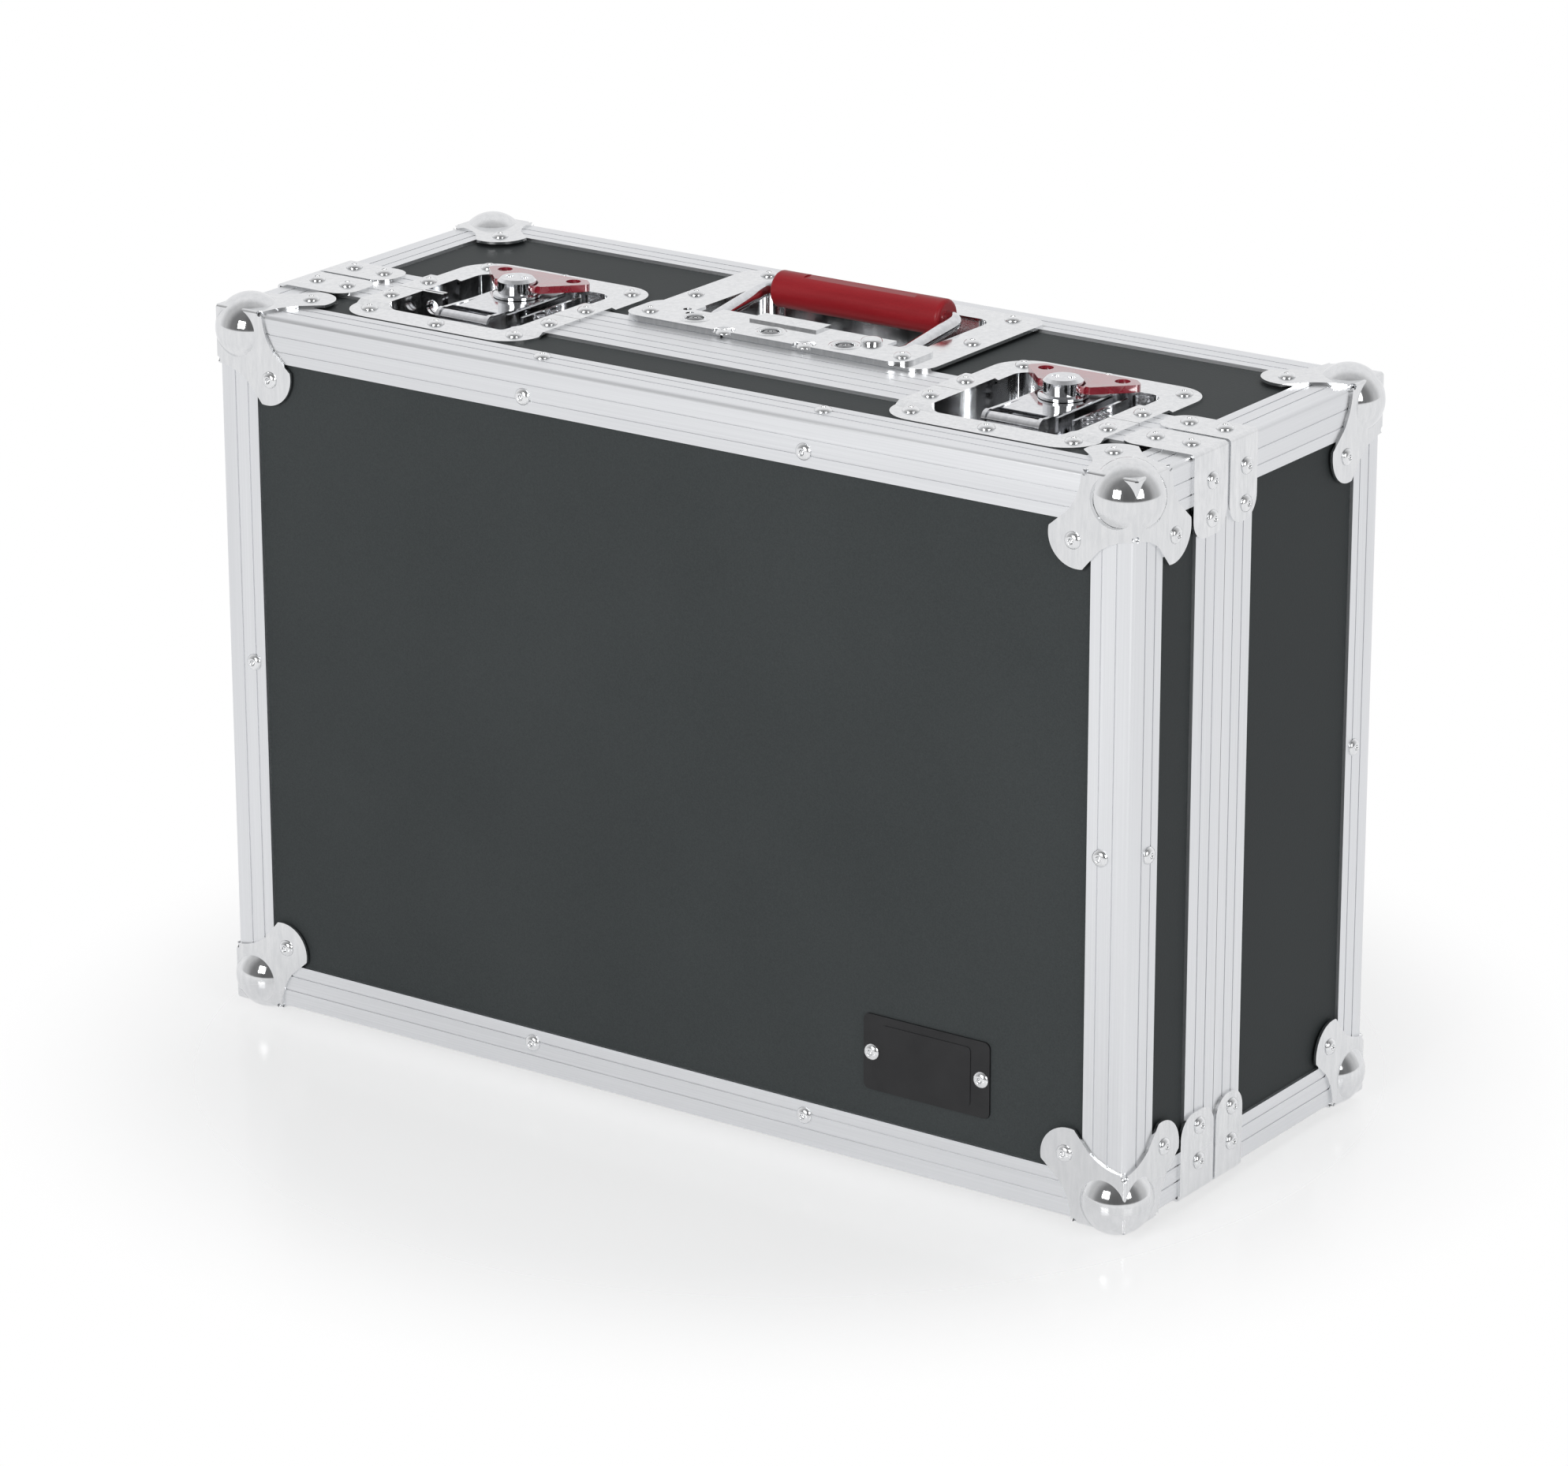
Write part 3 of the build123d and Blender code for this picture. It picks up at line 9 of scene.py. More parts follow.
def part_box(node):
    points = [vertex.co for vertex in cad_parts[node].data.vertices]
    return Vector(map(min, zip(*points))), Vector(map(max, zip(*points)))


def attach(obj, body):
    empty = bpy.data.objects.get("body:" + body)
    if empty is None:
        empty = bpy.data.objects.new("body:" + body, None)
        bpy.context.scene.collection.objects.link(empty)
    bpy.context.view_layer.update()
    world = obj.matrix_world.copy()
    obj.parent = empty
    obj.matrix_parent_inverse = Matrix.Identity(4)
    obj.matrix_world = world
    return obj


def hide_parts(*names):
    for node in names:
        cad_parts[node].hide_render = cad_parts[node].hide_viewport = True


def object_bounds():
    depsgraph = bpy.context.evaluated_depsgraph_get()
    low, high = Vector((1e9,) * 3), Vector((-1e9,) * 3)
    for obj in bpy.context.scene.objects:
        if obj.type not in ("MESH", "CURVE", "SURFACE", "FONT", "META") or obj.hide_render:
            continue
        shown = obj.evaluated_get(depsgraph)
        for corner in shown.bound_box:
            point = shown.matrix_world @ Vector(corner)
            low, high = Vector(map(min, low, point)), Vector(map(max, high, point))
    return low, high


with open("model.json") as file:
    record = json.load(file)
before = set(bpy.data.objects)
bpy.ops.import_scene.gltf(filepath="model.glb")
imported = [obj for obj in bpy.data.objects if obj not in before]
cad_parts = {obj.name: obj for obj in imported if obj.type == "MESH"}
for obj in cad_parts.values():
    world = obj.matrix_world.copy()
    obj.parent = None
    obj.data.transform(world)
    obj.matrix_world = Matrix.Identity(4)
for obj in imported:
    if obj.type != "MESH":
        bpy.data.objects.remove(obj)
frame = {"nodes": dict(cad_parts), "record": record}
for left_over in ("Cube", "Light", "Camera"):
    if left_over in bpy.data.objects:
        bpy.data.objects.remove(bpy.data.objects[left_over])
cad_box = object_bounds()
nodes = frame["nodes"]
scene = bpy.context.scene
scene.view_settings.view_transform = "Standard"

# All lengths are metres and all lamp powers are watts.

# Camera, in the frame of the case
camera_place = Vector((1.5615, -2.2168, 1.0871))
view_direction = Vector((-0.5454, 0.7730, -0.3239))
camera_roll = math.radians(-0.114)
camera_lens = 142.24
sensor_width = 36.0
view_reach = 60.0

# Studio
middle = (0.0, 0.0, 0.17)
floor_reach = 14.0
floor_colour = (0.88, 0.88, 0.885, 1.0)
floor_rough = 0.16
floor_ior = 1.4
floor_fade_distances = (0.24, 0.39)
floor_clear_shares = (0.62, 1.0)
behind_direction = (-0.5765, 0.8171)
horizon_fade = (0.05, -0.12)
surround_stops = ((0.0, 0.14), (0.25, 0.22), (0.50, 0.58), (0.75, 0.92))
surround_blue = 1.01
matt_colour = (0.97, 0.985, 1.0, 1.0)
matt_strength = 0.35
softbox_distance = 2.6
softbox_elevation = 21.0
softbox_size = 0.95
front_softbox_azimuth = 2.0
front_softbox_power = 36
side_softbox_azimuth = 68.0
side_softbox_power = 15
top_softbox_place = (0.2, 0.7, 2.4)
top_softbox_power = 14

# Rivets: shares of the head's radius and of its rise, from the foot to the broken stem
head_profile = ((1.0, 0.0), (1.0, 0.16), (0.97, 0.30), (0.86, 0.60), (0.70, 0.84), (0.54, 0.96),
                (0.42, 1.0), (0.35, 0.97), (0.31, 0.80), (0.29, 0.30), (0.20, 0.26), (0.15, 0.44),
                (0.07, 0.50))
head_segments = 28
round_tolerance = 0.0002
rim_tolerance = 0.0003
head_rise_limits = (0.0003, 0.0030)

# The bracket's dished holes: a pressed collar round each, and the rivet in it shown darker, as painted
# shade for the hollow
dished_xs = (-0.050, -0.008, 0.033)
dished_y = -0.0025
dished_reach = 0.003
bracket_sheet = 0.0015
collar_profile = ((0.0076, 0.0), (0.0072, 0.0004), (0.0065, 0.0005), (0.0057, 0.0002),
                  (0.0051, -0.0006), (0.0047, -0.0013), (0.0046, -bracket_sheet))
collar_segments = 36

# Foam
foam_voxel = 0.003
foam_skin_loss = 0.0002
foam_dimple_scale = 55.0
block_corner = 0.008
corner_steps = 10
round_over_steps = 6
insert_round_over = 0.004
pocket_flare = 0.004
cutter_overrun = 0.01
bay_growth = 0.003
bay_corner = 0.010
pad_columns = 13
pad_rows = 9
pad_hollow = 0.011

camera_data = bpy.data.cameras.new("studio_camera")
camera_data.sensor_fit = "HORIZONTAL"
camera_data.sensor_width = sensor_width
camera_data.lens = camera_lens
camera_data.clip_end = view_reach
camera = bpy.data.objects.new("studio_camera", camera_data)
turn = view_direction.to_track_quat("-Z", "Y").to_matrix() @ Matrix.Rotation(camera_roll, 3, "Z")
camera.matrix_world = Matrix.Translation(camera_place) @ turn.to_4x4()
scene.collection.objects.link(camera)
scene.camera = camera


class Nodes:
    """Short calls for the nodes of one node tree."""

    def __init__(self, tree):
        self.tree = tree

    def feed(self, node, socket, value):
        if isinstance(value, bpy.types.NodeSocket):
            self.tree.links.new(value, node.inputs[socket])
        else:
            node.inputs[socket].default_value = value

    def add(self, kind, **inputs):
        """A new node; From_Min stands for the input called From Min."""
        node = self.tree.nodes.new(kind)
        for key, value in inputs.items():
            self.feed(node, key.replace("_", " "), value)
        return node

    def math(self, operation, first, second=0.0):
        node = self.tree.nodes.new("ShaderNodeMath")
        node.operation = operation
        self.feed(node, 0, first)
        self.feed(node, 1, second)
        return node.outputs["Value"]

    def remap(self, value, start, end, low, high, kind="LINEAR"):
        """Maps the range from start to end onto the range from low to high."""
        node = self.add("ShaderNodeMapRange", Value=value, From_Min=start, From_Max=end,
                        To_Min=low, To_Max=high)
        node.interpolation_type = kind
        return node.outputs["Result"]

    def mixed(self, share, first, second):
        """The first shader where the share is 0 and the second where it is 1."""
        node = self.add("ShaderNodeMixShader", Fac=share)
        self.feed(node, 1, first)
        self.feed(node, 2, second)
        return node.outputs["Shader"]


class Shader(Nodes):
    """A material with one Principled surface and patterns in object coordinates."""

    input_names = {"metal": "Metallic", "rough": "Roughness", "ior": "IOR",
                   "specular": "Specular IOR Level", "coat": "Coat Weight",
                   "coat_rough": "Coat Roughness", "coat_ior": "Coat IOR",
                   "sheen": "Sheen Weight", "sheen_rough": "Sheen Roughness"}

    def __init__(self, name):
        self.material = bpy.data.materials.new(name)
        self.material.use_nodes = True
        super().__init__(self.material.node_tree)
        self.surface = self.tree.nodes["Principled BSDF"]
        self.place = self.tree.nodes.new("ShaderNodeTexCoord").outputs["Object"]

    def set(self, **values):
        for key, value in values.items():
            self.surface.inputs[self.input_names[key]].default_value = value

    def stretched(self, scale):
        """Object coordinates multiplied by a scale along each axis, per metre."""
        return self.add("ShaderNodeMapping", Vector=self.place, Scale=scale).outputs["Vector"]

    def grain(self, scale, detail=3.0, roughness=0.55):
        node = self.add("ShaderNodeTexNoise", Vector=self.stretched(scale), Scale=1.0,
                        Detail=detail, Roughness=roughness)
        return node.outputs["Fac"]

    def cells(self, scale):
        node = self.add("ShaderNodeTexVoronoi", Vector=self.stretched(scale), Scale=1.0)
        return node.outputs["Distance"]

    def spread(self, value, low, high):
        """Maps a grain onto a range of values."""
        return self.remap(value, 0.3, 0.7, low, high)

    def tint(self, value, low, high, start=0.3, end=0.7):
        """Maps a grain onto a range of colours."""
        node = self.add("ShaderNodeValToRGB", Fac=value)
        for element, position, colour in zip(node.color_ramp.elements, (start, end), (low, high)):
            element.position = position
            element.color = (*colour, 1.0)
        return node.outputs["Color"]

    def blend(self, first, first_share, second, second_share):
        """The weighted sum of two grains."""
        return self.math("ADD", self.math("MULTIPLY", first, first_share),
                         self.math("MULTIPLY", second, second_share))

    def bump(self, height, distance, strength=1.0, under=None):
        node = self.add("ShaderNodeBump", Height=height, Distance=distance, Strength=strength)
        if under is not None:
            self.feed(node, "Normal", under)
        return node.outputs["Normal"]

    def finish(self, base, rough, normal):
        self.feed(self.surface, "Base Color", base)
        self.feed(self.surface, "Roughness", rough)
        self.feed(self.surface, "Normal", normal)
        return self.material


def laminate():
    """Dark slate laminate with a fine pressed texture."""
    shader = Shader("panel_laminate")
    shader.set(ior=1.46, specular=0.16)
    fine = shader.grain((1500, 1500, 1500), 2.0)
    broad = shader.grain((9, 9, 9), 3.0)
    mixed = shader.blend(fine, 0.6, broad, 0.4)
    pressed = shader.cells((900, 900, 900))
    normal = shader.bump(pressed, 0.00006, 0.5)
    normal = shader.bump(fine, 0.00005, 0.6, normal)
    return shader.finish(
        shader.tint(mixed, (0.032, 0.0365, 0.0375), (0.046, 0.0515, 0.0525)),
        shader.spread(mixed, 0.52, 0.64), normal)


def satin_aluminium(name, along):
    """Satin anodised extrusion with drawn lines along one axis (0, 1 or 2)."""
    shader = Shader(name)
    shader.set(metal=1.0)
    drawn_scale = [1600.0, 1600.0, 1600.0]
    drawn_scale[along] = 6.0
    drawn = shader.grain(drawn_scale, 3.0, 0.6)
    cloud_scale = [60.0, 60.0, 60.0]
    cloud_scale[along] = 3.0
    cloud = shader.grain(cloud_scale, 3.0)
    normal = shader.bump(drawn, 0.00003, 0.6)
    mixed = shader.blend(drawn, 0.5, cloud, 0.5)
    return shader.finish(
        shader.tint(mixed, (0.74, 0.75, 0.765), (0.85, 0.86, 0.875)),
        shader.spread(mixed, 0.30, 0.42), normal)


def plated(name, low, high, rough_low, rough_high, wave=0.00004):
    """Bright plated steel with a slight pressed waviness and hairline marks."""
    shader = Shader(name)
    shader.set(metal=1.0)
    wavy = shader.grain((45, 45, 45), 1.0)
    smear = shader.grain((420, 420, 90), 4.0, 0.65)
    hair = shader.grain((2600, 300, 2600), 2.0)
    normal = shader.bump(wavy, wave, 0.5)
    normal = shader.bump(hair, 0.000004, 0.6, normal)
    return shader.finish(
        shader.tint(smear, low, high),
        shader.spread(smear, rough_low, rough_high), normal)


def red_coat():
    """Glossy red powder coat with a light orange peel."""
    shader = Shader("lever_red")
    shader.set(ior=1.9, coat=1.0, coat_rough=0.05, coat_ior=2.2)
    peel = shader.grain((700, 700, 700), 2.0)
    cloud = shader.grain((120, 120, 120), 3.0)
    return shader.finish(
        shader.tint(cloud, (0.23, 0.006, 0.018), (0.31, 0.012, 0.028)),
        shader.spread(cloud, 0.22, 0.34), shader.bump(peel, 0.00003, 0.5))


def red_vinyl():
    """Moulded red vinyl of the grip, satin, with a faint skin texture."""
    shader = Shader("grip_red")
    shader.set(ior=1.48, specular=0.3)
    skin = shader.grain((1300, 1300, 1300), 3.0)
    flow = shader.grain((25, 260, 260), 3.0)
    mixed = shader.blend(skin, 0.4, flow, 0.6)
    normal = shader.bump(skin, 0.00004, 0.5)
    return shader.finish(
        shader.tint(mixed, (0.235, 0.007, 0.012), (0.31, 0.012, 0.018)),
        shader.spread(mixed, 0.34, 0.46), normal)


def black_plate():
    """Black painted name plate, left bare."""
    shader = Shader("name_plate")
    shader.set(ior=1.45, specular=0.4)
    fine = shader.grain((1800, 1800, 1800), 2.0)
    cloud = shader.grain((60, 60, 60), 3.0)
    return shader.finish(
        shader.tint(cloud, (0.010, 0.010, 0.011), (0.016, 0.016, 0.017)),
        shader.spread(fine, 0.36, 0.48), shader.bump(fine, 0.00003, 0.6))


def open_foam():
    """Charcoal open-cell foam: small dark cells under a soft sheen."""
    shader = Shader("foam")
    shader.set(sheen=0.25, sheen_rough=0.5, specular=0.15)
    cell = shader.cells((1100, 1100, 1100))
    lump = shader.grain((160, 160, 160), 4.0, 0.6)
    mixed = shader.math("MULTIPLY", shader.math("ADD", cell, 0.35), lump)
    normal = shader.bump(cell, 0.0006, 0.8)
    normal = shader.bump(lump, 0.0008, 0.5, normal)
    return shader.finish(
        shader.tint(mixed, (0.012, 0.0125, 0.0135), (0.062, 0.064, 0.068), 0.15, 0.6),
        0.95, normal)


laminate_finish = laminate()
aluminium_x = satin_aluminium("edge_aluminium_long", 0)
aluminium_y = satin_aluminium("edge_aluminium_deep", 1)
aluminium_z = satin_aluminium("edge_aluminium_tall", 2)
plate_finish = plated("plated_steel", (0.72, 0.73, 0.74), (0.86, 0.865, 0.87), 0.07, 0.13)
ball_finish = plated("corner_steel", (0.72, 0.73, 0.74), (0.82, 0.825, 0.83), 0.05, 0.10, 0.00003)
latch_finish = plated("latch_steel", (0.66, 0.67, 0.69), (0.80, 0.805, 0.82), 0.06, 0.12)
spring_finish = plated("spring_steel", (0.66, 0.67, 0.69), (0.84, 0.845, 0.86), 0.14, 0.24, 0.00002)
rivet_finish = plated("rivet_steel", (0.76, 0.77, 0.78), (0.90, 0.905, 0.91), 0.14, 0.24, 0.00003)
# Darker copy of the rivet steel, painted shade for the rivets in the bracket's dished holes
painted_shade_rivet_finish = plated("painted_shade_rivet", (0.20, 0.205, 0.21), (0.32, 0.325, 0.33), 0.10, 0.18)
red_finish = red_coat()
grip_finish = red_vinyl()
plate_black = black_plate()
foam_finish = open_foam()

finishes = {
    "panel": laminate_finish,
    "edges_long": aluminium_x,
    "edges_short": aluminium_z,
    "corner_edges": aluminium_y,
    "groove_top": aluminium_x,
    "groove_bottom": aluminium_x,
    "groove_sides": aluminium_z,
    "tongue_top": aluminium_x,
    "tongue_bottom": aluminium_x,
    "tongue_sides": aluminium_z,
    "clamps": plate_finish,
    "dish": plate_finish,
    "keepers": plate_finish,
    "leaves": plate_finish,
    "pins": latch_finish,
    "base_plates": latch_finish,
    "springs": spring_finish,
    "tray": plate_finish,
    "bracket": plate_finish,
    "bail": latch_finish,
    "spindle": latch_finish,
    "lever": red_finish,
    "draw_plate": latch_finish,
    "rivets": rivet_finish,
    "ball_corner": ball_finish,
    "name_plate": plate_black,
    "grip": grip_finish,
    "foam": foam_finish,
}


def finish_for(name):
    """The finish whose key is the longest one found in the node's name."""
    keys = [key for key in finishes if key in name]
    return finishes[max(keys, key=len)]


for name, node in nodes.items():
    for slot in node.material_slots:
        slot.material = finish_for(name)


def studio_floor():
    """Pale floor round the case, with a soft shadow and a faint reflection, that clears further out."""
    mesh = bpy.data.meshes.new("studio_floor")
    level = cad_box[0][2]
    signs = ((-1, -1), (1, -1), (1, 1), (-1, 1))
    mesh.from_pydata([(x * floor_reach, y * floor_reach, level) for x, y in signs], [], [(0, 1, 2, 3)])
    floor = bpy.data.objects.new("studio_floor", mesh)
    scene.collection.objects.link(floor)
    shader = Shader("studio_floor")
    shader.set(rough=floor_rough, ior=floor_ior)
    shader.surface.inputs["Base Color"].default_value = floor_colour
    rays = shader.add("ShaderNodeLightPath")
    seen = shader.math("MAXIMUM", rays.outputs["Is Camera Ray"], rays.outputs["Is Glossy Ray"])
    distance = shader.tree.nodes.new("ShaderNodeVectorMath")
    distance.operation = "LENGTH"
    shader.feed(distance, 0, shader.place)
    fade = shader.remap(distance.outputs["Value"], *floor_fade_distances, *floor_clear_shares,
                        kind="SMOOTHSTEP")
    clear = shader.add("ShaderNodeBsdfTransparent")
    mixed = shader.mixed(shader.math("MULTIPLY", seen, fade), shader.surface.outputs[0],
                         clear.outputs[0])
    shader.feed(shader.tree.nodes["Material Output"], "Surface", mixed)
    mesh.materials.append(shader.material)


def surround():
    """World: dim light on matt surfaces; white behind the case and greyer in front for mirrors."""
    world = bpy.data.worlds.new("studio")
    scene.world = world
    world.use_nodes = True
    world.node_tree.nodes.clear()
    sky = Nodes(world.node_tree)
    place = sky.add("ShaderNodeTexCoord").outputs["Generated"]
    rays = sky.add("ShaderNodeLightPath").outputs
    split = sky.tree.nodes.new("ShaderNodeSeparateXYZ")
    sky.feed(split, 0, place)
    behind = sky.math("ADD", sky.math("MULTIPLY", split.outputs["X"], behind_direction[0]),
                      sky.math("MULTIPLY", split.outputs["Y"], behind_direction[1]))
    below = sky.remap(split.outputs["Z"], *horizon_fade, 0.0, 1.0, kind="SMOOTHSTEP")
    round_share = sky.math("ADD", sky.math("MULTIPLY", behind, 0.5), 0.5)
    ramp = sky.add("ShaderNodeValToRGB", Fac=sky.math("MAXIMUM", round_share, below))
    ramp.color_ramp.interpolation = "EASE"
    elements = ramp.color_ramp.elements
    while len(elements) < len(surround_stops):
        elements.new(0.5)
    for element, (position, level) in zip(elements, surround_stops):
        element.position = position
        element.color = (level, level, level * surround_blue, 1.0)
    mirror = sky.add("ShaderNodeBackground", Color=ramp.outputs["Color"])
    matt = sky.add("ShaderNodeBackground", Color=matt_colour, Strength=matt_strength)
    white = sky.add("ShaderNodeBackground", Color=(1.0, 1.0, 1.0, 1.0))
    around = sky.mixed(rays["Is Glossy Ray"], matt.outputs[0], mirror.outputs[0])
    plain = sky.math("MAXIMUM", rays["Is Camera Ray"], rays["Is Transmission Ray"])
    sky.add("ShaderNodeOutputWorld", Surface=sky.mixed(plain, around, white.outputs[0]))


def lamp(name, place, width, height, power):
    """A rectangular lamp aimed at the middle of the case."""
    data = bpy.data.lights.new(name, "AREA")
    data.shape = "RECTANGLE"
    data.size = width
    data.size_y = height
    data.energy = power
    item = bpy.data.objects.new(name, data)
    aim = (Vector(middle) - Vector(place)).to_track_quat("-Z", "Y").to_matrix().to_4x4()
    item.matrix_world = Matrix.Translation(place) @ aim
    scene.collection.objects.link(item)
    return item


def softbox(name, azimuth, power):
    """A square lamp placed round the case by its angle from the lid's face."""
    flat = softbox_distance * math.cos(math.radians(softbox_elevation))
    place = (flat * math.sin(math.radians(azimuth)),
             -flat * math.cos(math.radians(azimuth)),
             middle[2] + softbox_distance * math.sin(math.radians(softbox_elevation)))
    lamp(name, place, softbox_size, softbox_size, power)


studio_floor()
surround()
softbox("front_softbox", front_softbox_azimuth, front_softbox_power)
softbox("side_softbox", side_softbox_azimuth, side_softbox_power)
overhead = lamp("top_softbox", top_softbox_place, 1.8, 1.2, top_softbox_power)
overhead.visible_glossy = False


def linked_piece(name, form):
    """Turns a bmesh into an object of the scene."""
    mesh = bpy.data.meshes.new(name)
    form.to_mesh(mesh)
    form.free()
    piece = bpy.data.objects.new(name, mesh)
    scene.collection.objects.link(piece)
    return piece


def islands(mesh):
    """The points of each separate solid of a mesh."""
    parent = list(range(len(mesh.vertices)))

    def root(item):
        while parent[item] != item:
            parent[item] = parent[parent[item]]
            item = parent[item]
        return item

    places = {}
    for vertex in mesh.vertices:
        key = tuple(round(value, 6) for value in vertex.co)
        parent[root(vertex.index)] = root(places.setdefault(key, vertex.index))
    for edge in mesh.edges:
        parent[root(edge.vertices[0])] = root(edge.vertices[1])
    groups = {}
    for vertex in mesh.vertices:
        groups.setdefault(root(vertex.index), []).append(vertex.co)
    return list(groups.values())


def rivet_seats(node):
    """Centre of the head's foot, outward direction, radius and rise of each rivet of a node."""
    seats = []
    for points in islands(nodes[node].data):
        low = Vector([min(point[axis] for point in points) for axis in range(3)])
        high = Vector([max(point[axis] for point in points) for axis in range(3)])
        centre = (low + high) / 2
        for axis in range(3):
            others = [index for index in range(3) if index != axis]
            spans = [high[index] - low[index] for index in others]
            if abs(spans[0] - spans[1]) > round_tolerance:
                continue
            radius = max(spans) / 2
            rim = [point[axis] for point in points
                   if math.hypot(*(point[index] - centre[index] for index in others))
                   > radius - rim_tolerance]
            for sign, end in ((1, high), (-1, low)):
                foot = min(rim) if sign > 0 else max(rim)
                rise = (end[axis] - foot) * sign
                if head_rise_limits[0] < rise < head_rise_limits[1]:
                    out = Vector((0, 0, 0))
                    out[axis] = sign
                    place = centre.copy()
                    place[axis] = foot
                    seats.append((place, out, radius, rise))
    return seats


def turned(form, place, out, profile, segments, material_index=0):
    """Adds the surface turned from a profile of (reach, lift) about an axis; returns its rings."""
    side = out.orthogonal().normalized()
    across = out.cross(side)
    rows = []
    for reach, lift in profile:
        row = []
        for step in range(segments):
            angle = 2 * math.pi * step / segments
            spoke = side * math.cos(angle) + across * math.sin(angle)
            row.append(form.verts.new(place + spoke * reach + out * lift))
        rows.append(row)
    for row, following in zip(rows, rows[1:]):
        for step in range(segments):
            after = (step + 1) % segments
            face = form.faces.new((row[step], row[after], following[after], following[step]))
            face.material_index = material_index
    return rows


bracket_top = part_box("handle_tray")[1].z
dished_places = [Vector((x, dished_y, bracket_top)) for x in dished_xs]


def pressed_rivets(name, node, body):
    """Heads with a rolled rim and the broken stem in a sunk hole, on every seat of a rivet node; rivets
    in the bracket's dished holes get a darker finish as painted shade.
    """
    form = bmesh.new()
    for place, out, radius, rise in rivet_seats(node):
        profile = [(reach * radius, lift * rise) for reach, lift in head_profile]
        # A rivet in a dished hole takes the darker finish, painted shade for the hollow round it
        dark = any((place - dished).length < dished_reach for dished in dished_places)
        rows = turned(form, place, out, profile, head_segments, int(dark))
        form.faces.new(rows[-1]).material_index = int(dark)
        form.faces.new(list(reversed(rows[0])))
    piece = linked_piece(name, form)
    piece.data.shade_smooth()
    piece.data.materials.append(rivet_finish)
    piece.data.materials.append(painted_shade_rivet_finish)
    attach(piece, body)
    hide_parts(node)


def dished_collars():
    """Pressed rings round the bracket's three dished holes."""
    form = bmesh.new()
    profile = [(reach, bracket_sheet + lift) for reach, lift in collar_profile]
    for place in dished_places:
        turned(form, place, Vector((0, 0, 1)), profile, collar_segments)
    piece = linked_piece("bracket_collars", form)
    piece.data.shade_smooth()
    piece.data.materials.append(plate_finish)
    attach(piece, "base")


pressed_rivets("lid_pressed_rivets", "lid_rivets", "lid")
pressed_rivets("base_pressed_rivets", "base_rivets", "base")
dished_collars()


def rounded_loop(half_width, half_height, corner):
    """Points of a rounded rectangle about the origin, as (x, z) pairs."""
    points = []
    for index, (sign_x, sign_z) in enumerate(((1, 1), (-1, 1), (-1, -1), (1, -1))):
        for step in range(corner_steps + 1):
            angle = (index + step / corner_steps) * math.pi / 2
            points.append((sign_x * (half_width - corner) + corner * math.cos(angle),
                           sign_z * (half_height - corner) + corner * math.sin(angle)))
    return points


def quarter_turn(radius):
    """The distances in from the side and from the end at each step round a quarter circle."""
    angles = [step / round_over_steps * math.pi / 2 for step in range(round_over_steps + 1)]
    return [(radius * (1 - math.sin(angle)), radius * (1 - math.cos(angle))) for angle in angles]


def lofted(name, loops):
    """A closed mesh through a list of loops of 3-D points, capped at both ends."""
    form = bmesh.new()
    rows = [[form.verts.new(point) for point in loop] for loop in loops]
    count = len(rows[0])
    for row, following in zip(rows, rows[1:]):
        for index in range(count):
            after = (index + 1) % count
            form.faces.new((row[index], row[after], following[after], following[index]))
    form.faces.new(list(reversed(rows[0])))
    form.faces.new(rows[-1])
    bmesh.ops.recalc_face_normals(form, faces=form.faces)
    return linked_piece(name, form)


def soft_block(name, low, high, round_over):
    """A block along Y whose edges are rounded over."""
    centre = (low + high) / 2
    half = (high - low) / 2
    steps = quarter_turn(round_over)
    loops = []
    for start_y, sign, turns in ((low.y, 1, steps), (high.y, -1, steps[::-1])):
        for inset, depth in turns:
            ring = rounded_loop(half.x - inset, half.z - inset, block_corner)
            loops.append([(centre.x + x, start_y + sign * depth, centre.z + z) for x, z in ring])
    return lofted(name, loops)


def flared_cutter(name, centre, half, corner, front_y, back_y):
    """Cutter for a pocket, given by (x, z) pairs, whose mouth at front_y is rounded over."""
    turns = [(pocket_flare, -cutter_overrun)] + quarter_turn(pocket_flare)
    loops = []
    for growth, depth in turns:
        ring = rounded_loop(half[0] + growth, half[1] + growth, corner + growth)
        loops.append([(centre[0] + x, front_y + depth, centre[1] + z) for x, z in ring])
    ring = rounded_loop(half[0], half[1], corner)
    loops.append([(centre[0] + x, back_y, centre[1] + z) for x, z in ring])
    return lofted(name, loops)


def cut(piece, cutter):
    modifier = piece.modifiers.new("cut", "BOOLEAN")
    modifier.operation = "DIFFERENCE"
    modifier.solver = "EXACT"
    modifier.object = cutter


def remeshed(piece):
    modifier = piece.modifiers.new("skin", "REMESH")
    modifier.mode = "VOXEL"
    modifier.voxel_size = foam_voxel


def settle(piece):
    """Applies a piece's modifiers and smooths its shading."""
    bpy.context.view_layer.update()
    graph = bpy.context.evaluated_depsgraph_get()
    mesh = bpy.data.meshes.new_from_object(piece.evaluated_get(graph))
    piece.modifiers.clear()
    piece.data = mesh
    mesh.shade_smooth()


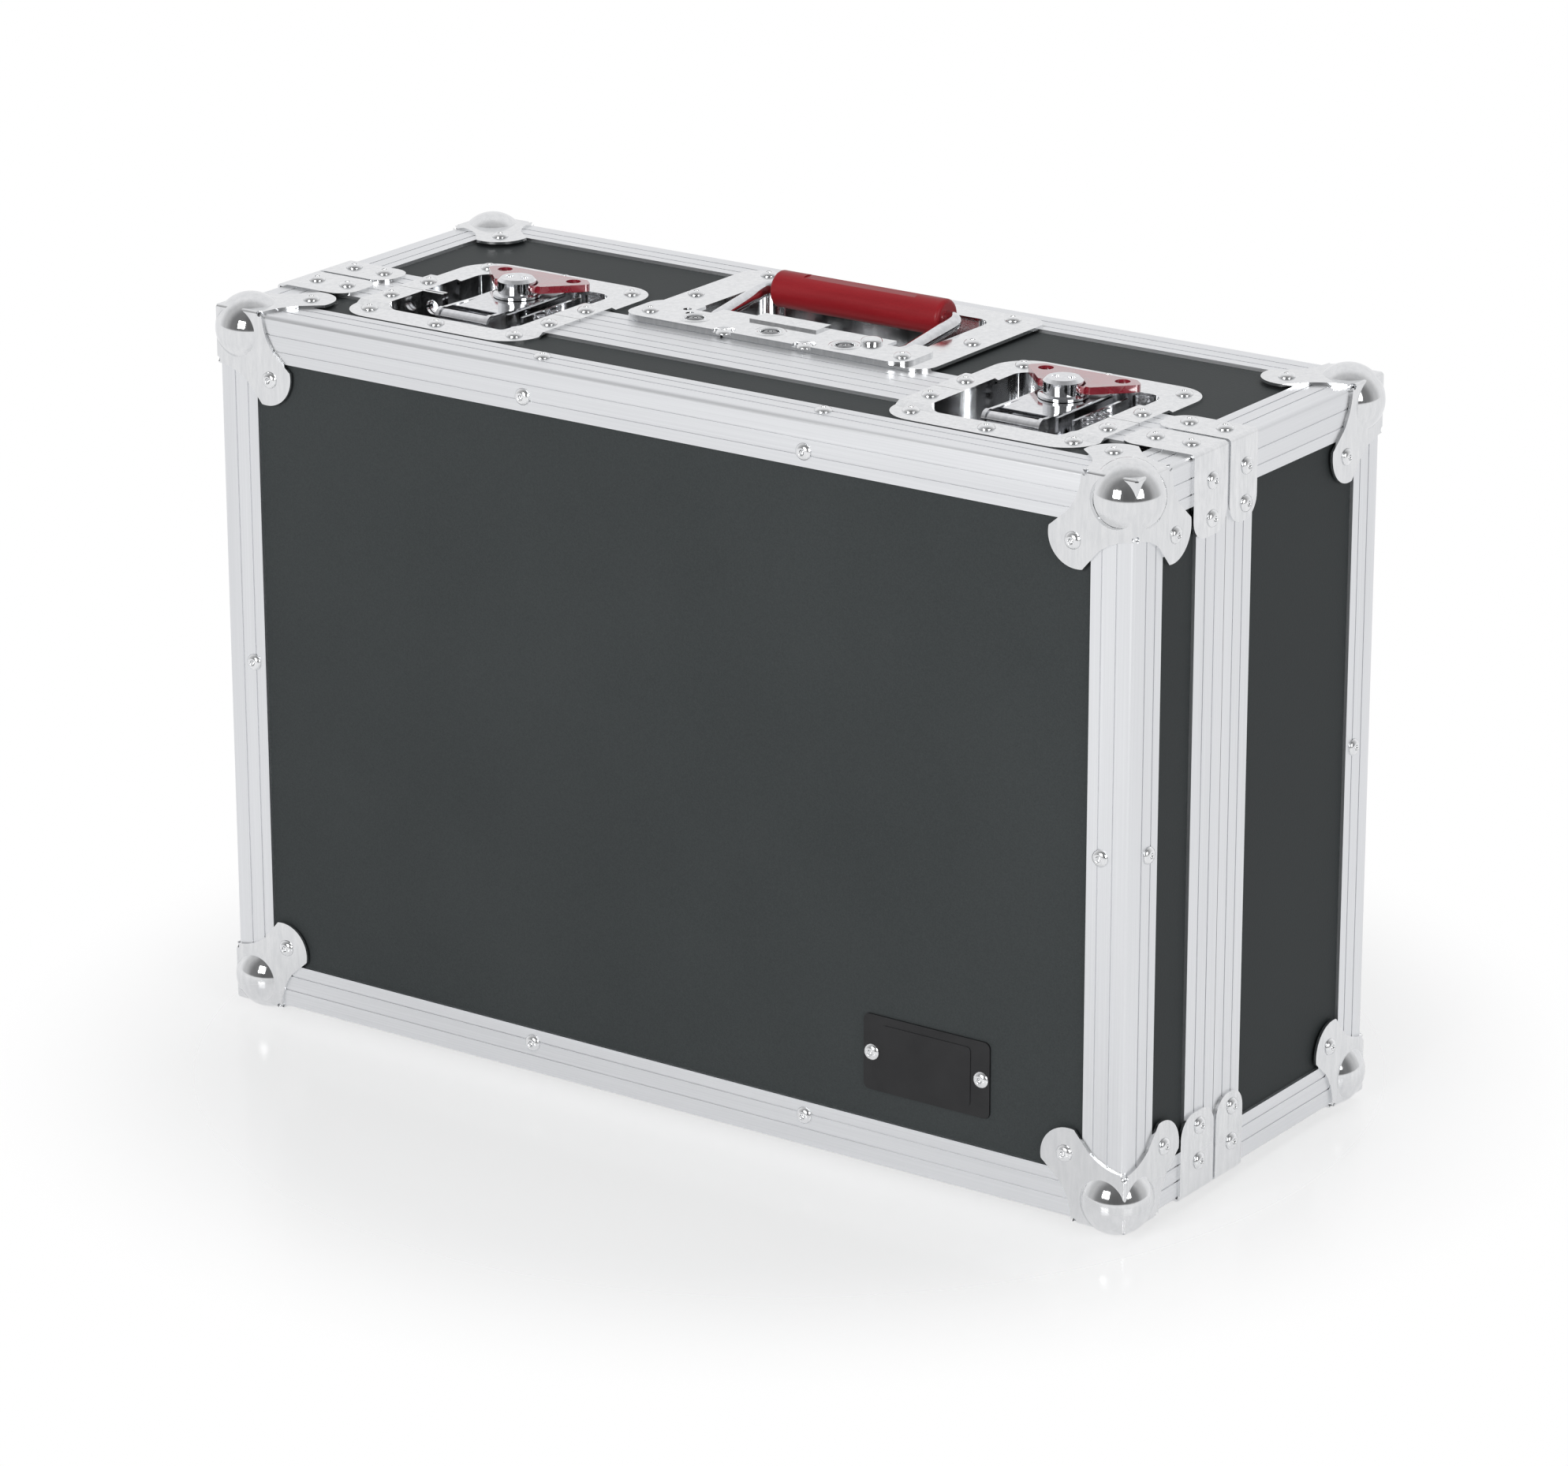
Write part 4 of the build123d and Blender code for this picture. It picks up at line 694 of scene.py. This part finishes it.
def foamed(piece, node, body, dimple):
    """Remeshes, relaxes and dimples a foam piece, then stands it in for its node."""
    remeshed(piece)
    smooth = piece.modifiers.new("relax", "SMOOTH")
    smooth.factor = 0.5
    smooth.iterations = 4
    settle(piece)
    normals = [vertex.normal.copy() for vertex in piece.data.vertices]
    for vertex, normal in zip(piece.data.vertices, normals):
        lift = noise.fractal(vertex.co * foam_dimple_scale, 1.0, 2.0, 3) * dimple
        vertex.co -= normal * (abs(lift) + foam_skin_loss)
    piece.data.materials.clear()
    piece.data.materials.append(foam_finish)
    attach(piece, body)
    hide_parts(node)


def microphone_insert():
    """Foam block with twelve round pockets and an accessory bay."""
    low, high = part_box("base_foam_insert")
    piece = soft_block("microphone_insert", low, high, insert_round_over)
    cutters = []
    for opening in frame["record"]["physics"]["openings"]:
        start, end = opening["box_m"]
        centre = ((start[0] + end[0]) / 2, (start[2] + end[2]) / 2)
        half = ((end[0] - start[0]) / 2, (end[2] - start[2]) / 2)
        if opening["name"].startswith("microphone_pocket"):
            corner = half[0] * math.sqrt(2)
            half = (corner, corner)
        elif opening["name"] == "accessory_bay":
            corner = bay_corner
            half = (half[0] + bay_growth, half[1] + bay_growth)
        else:
            continue
        cutters.append(flared_cutter(f"cut_{opening['name']}", centre, half, corner,
                                     low.y, high.y + cutter_overrun))
        cut(piece, cutters[-1])
    foamed(piece, "base_foam_insert", "base", 0.0006)
    for cutter in cutters:
        bpy.data.objects.remove(cutter)


def floor_foam():
    low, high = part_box("base_foam_floor")
    foamed(soft_block("foam_floor", low, high, 0.002), "base_foam_floor", "base", 0.0004)


def crated_foam():
    """The lid's pad, with the rounded peaks and hollows of convoluted foam."""
    low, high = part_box("lid_foam")
    piece = soft_block("lid_pad", low, high, 0.003)
    remeshed(piece)
    settle(piece)
    pitch_x = (high.x - low.x) / pad_columns
    pitch_z = (high.z - low.z) / pad_rows
    for vertex in piece.data.vertices:
        reach = (vertex.co.y - low.y) / (high.y - low.y)
        wave = math.cos((vertex.co.x - low.x) / pitch_x * 2 * math.pi)
        wave *= math.cos((vertex.co.z - low.z) / pitch_z * 2 * math.pi)
        vertex.co.y -= pad_hollow * (0.5 - 0.5 * wave) * max(0.0, reach) ** 1.5
    foamed(piece, "lid_foam", "lid", 0.0005)


microphone_insert()
floor_foam()
crated_foam()
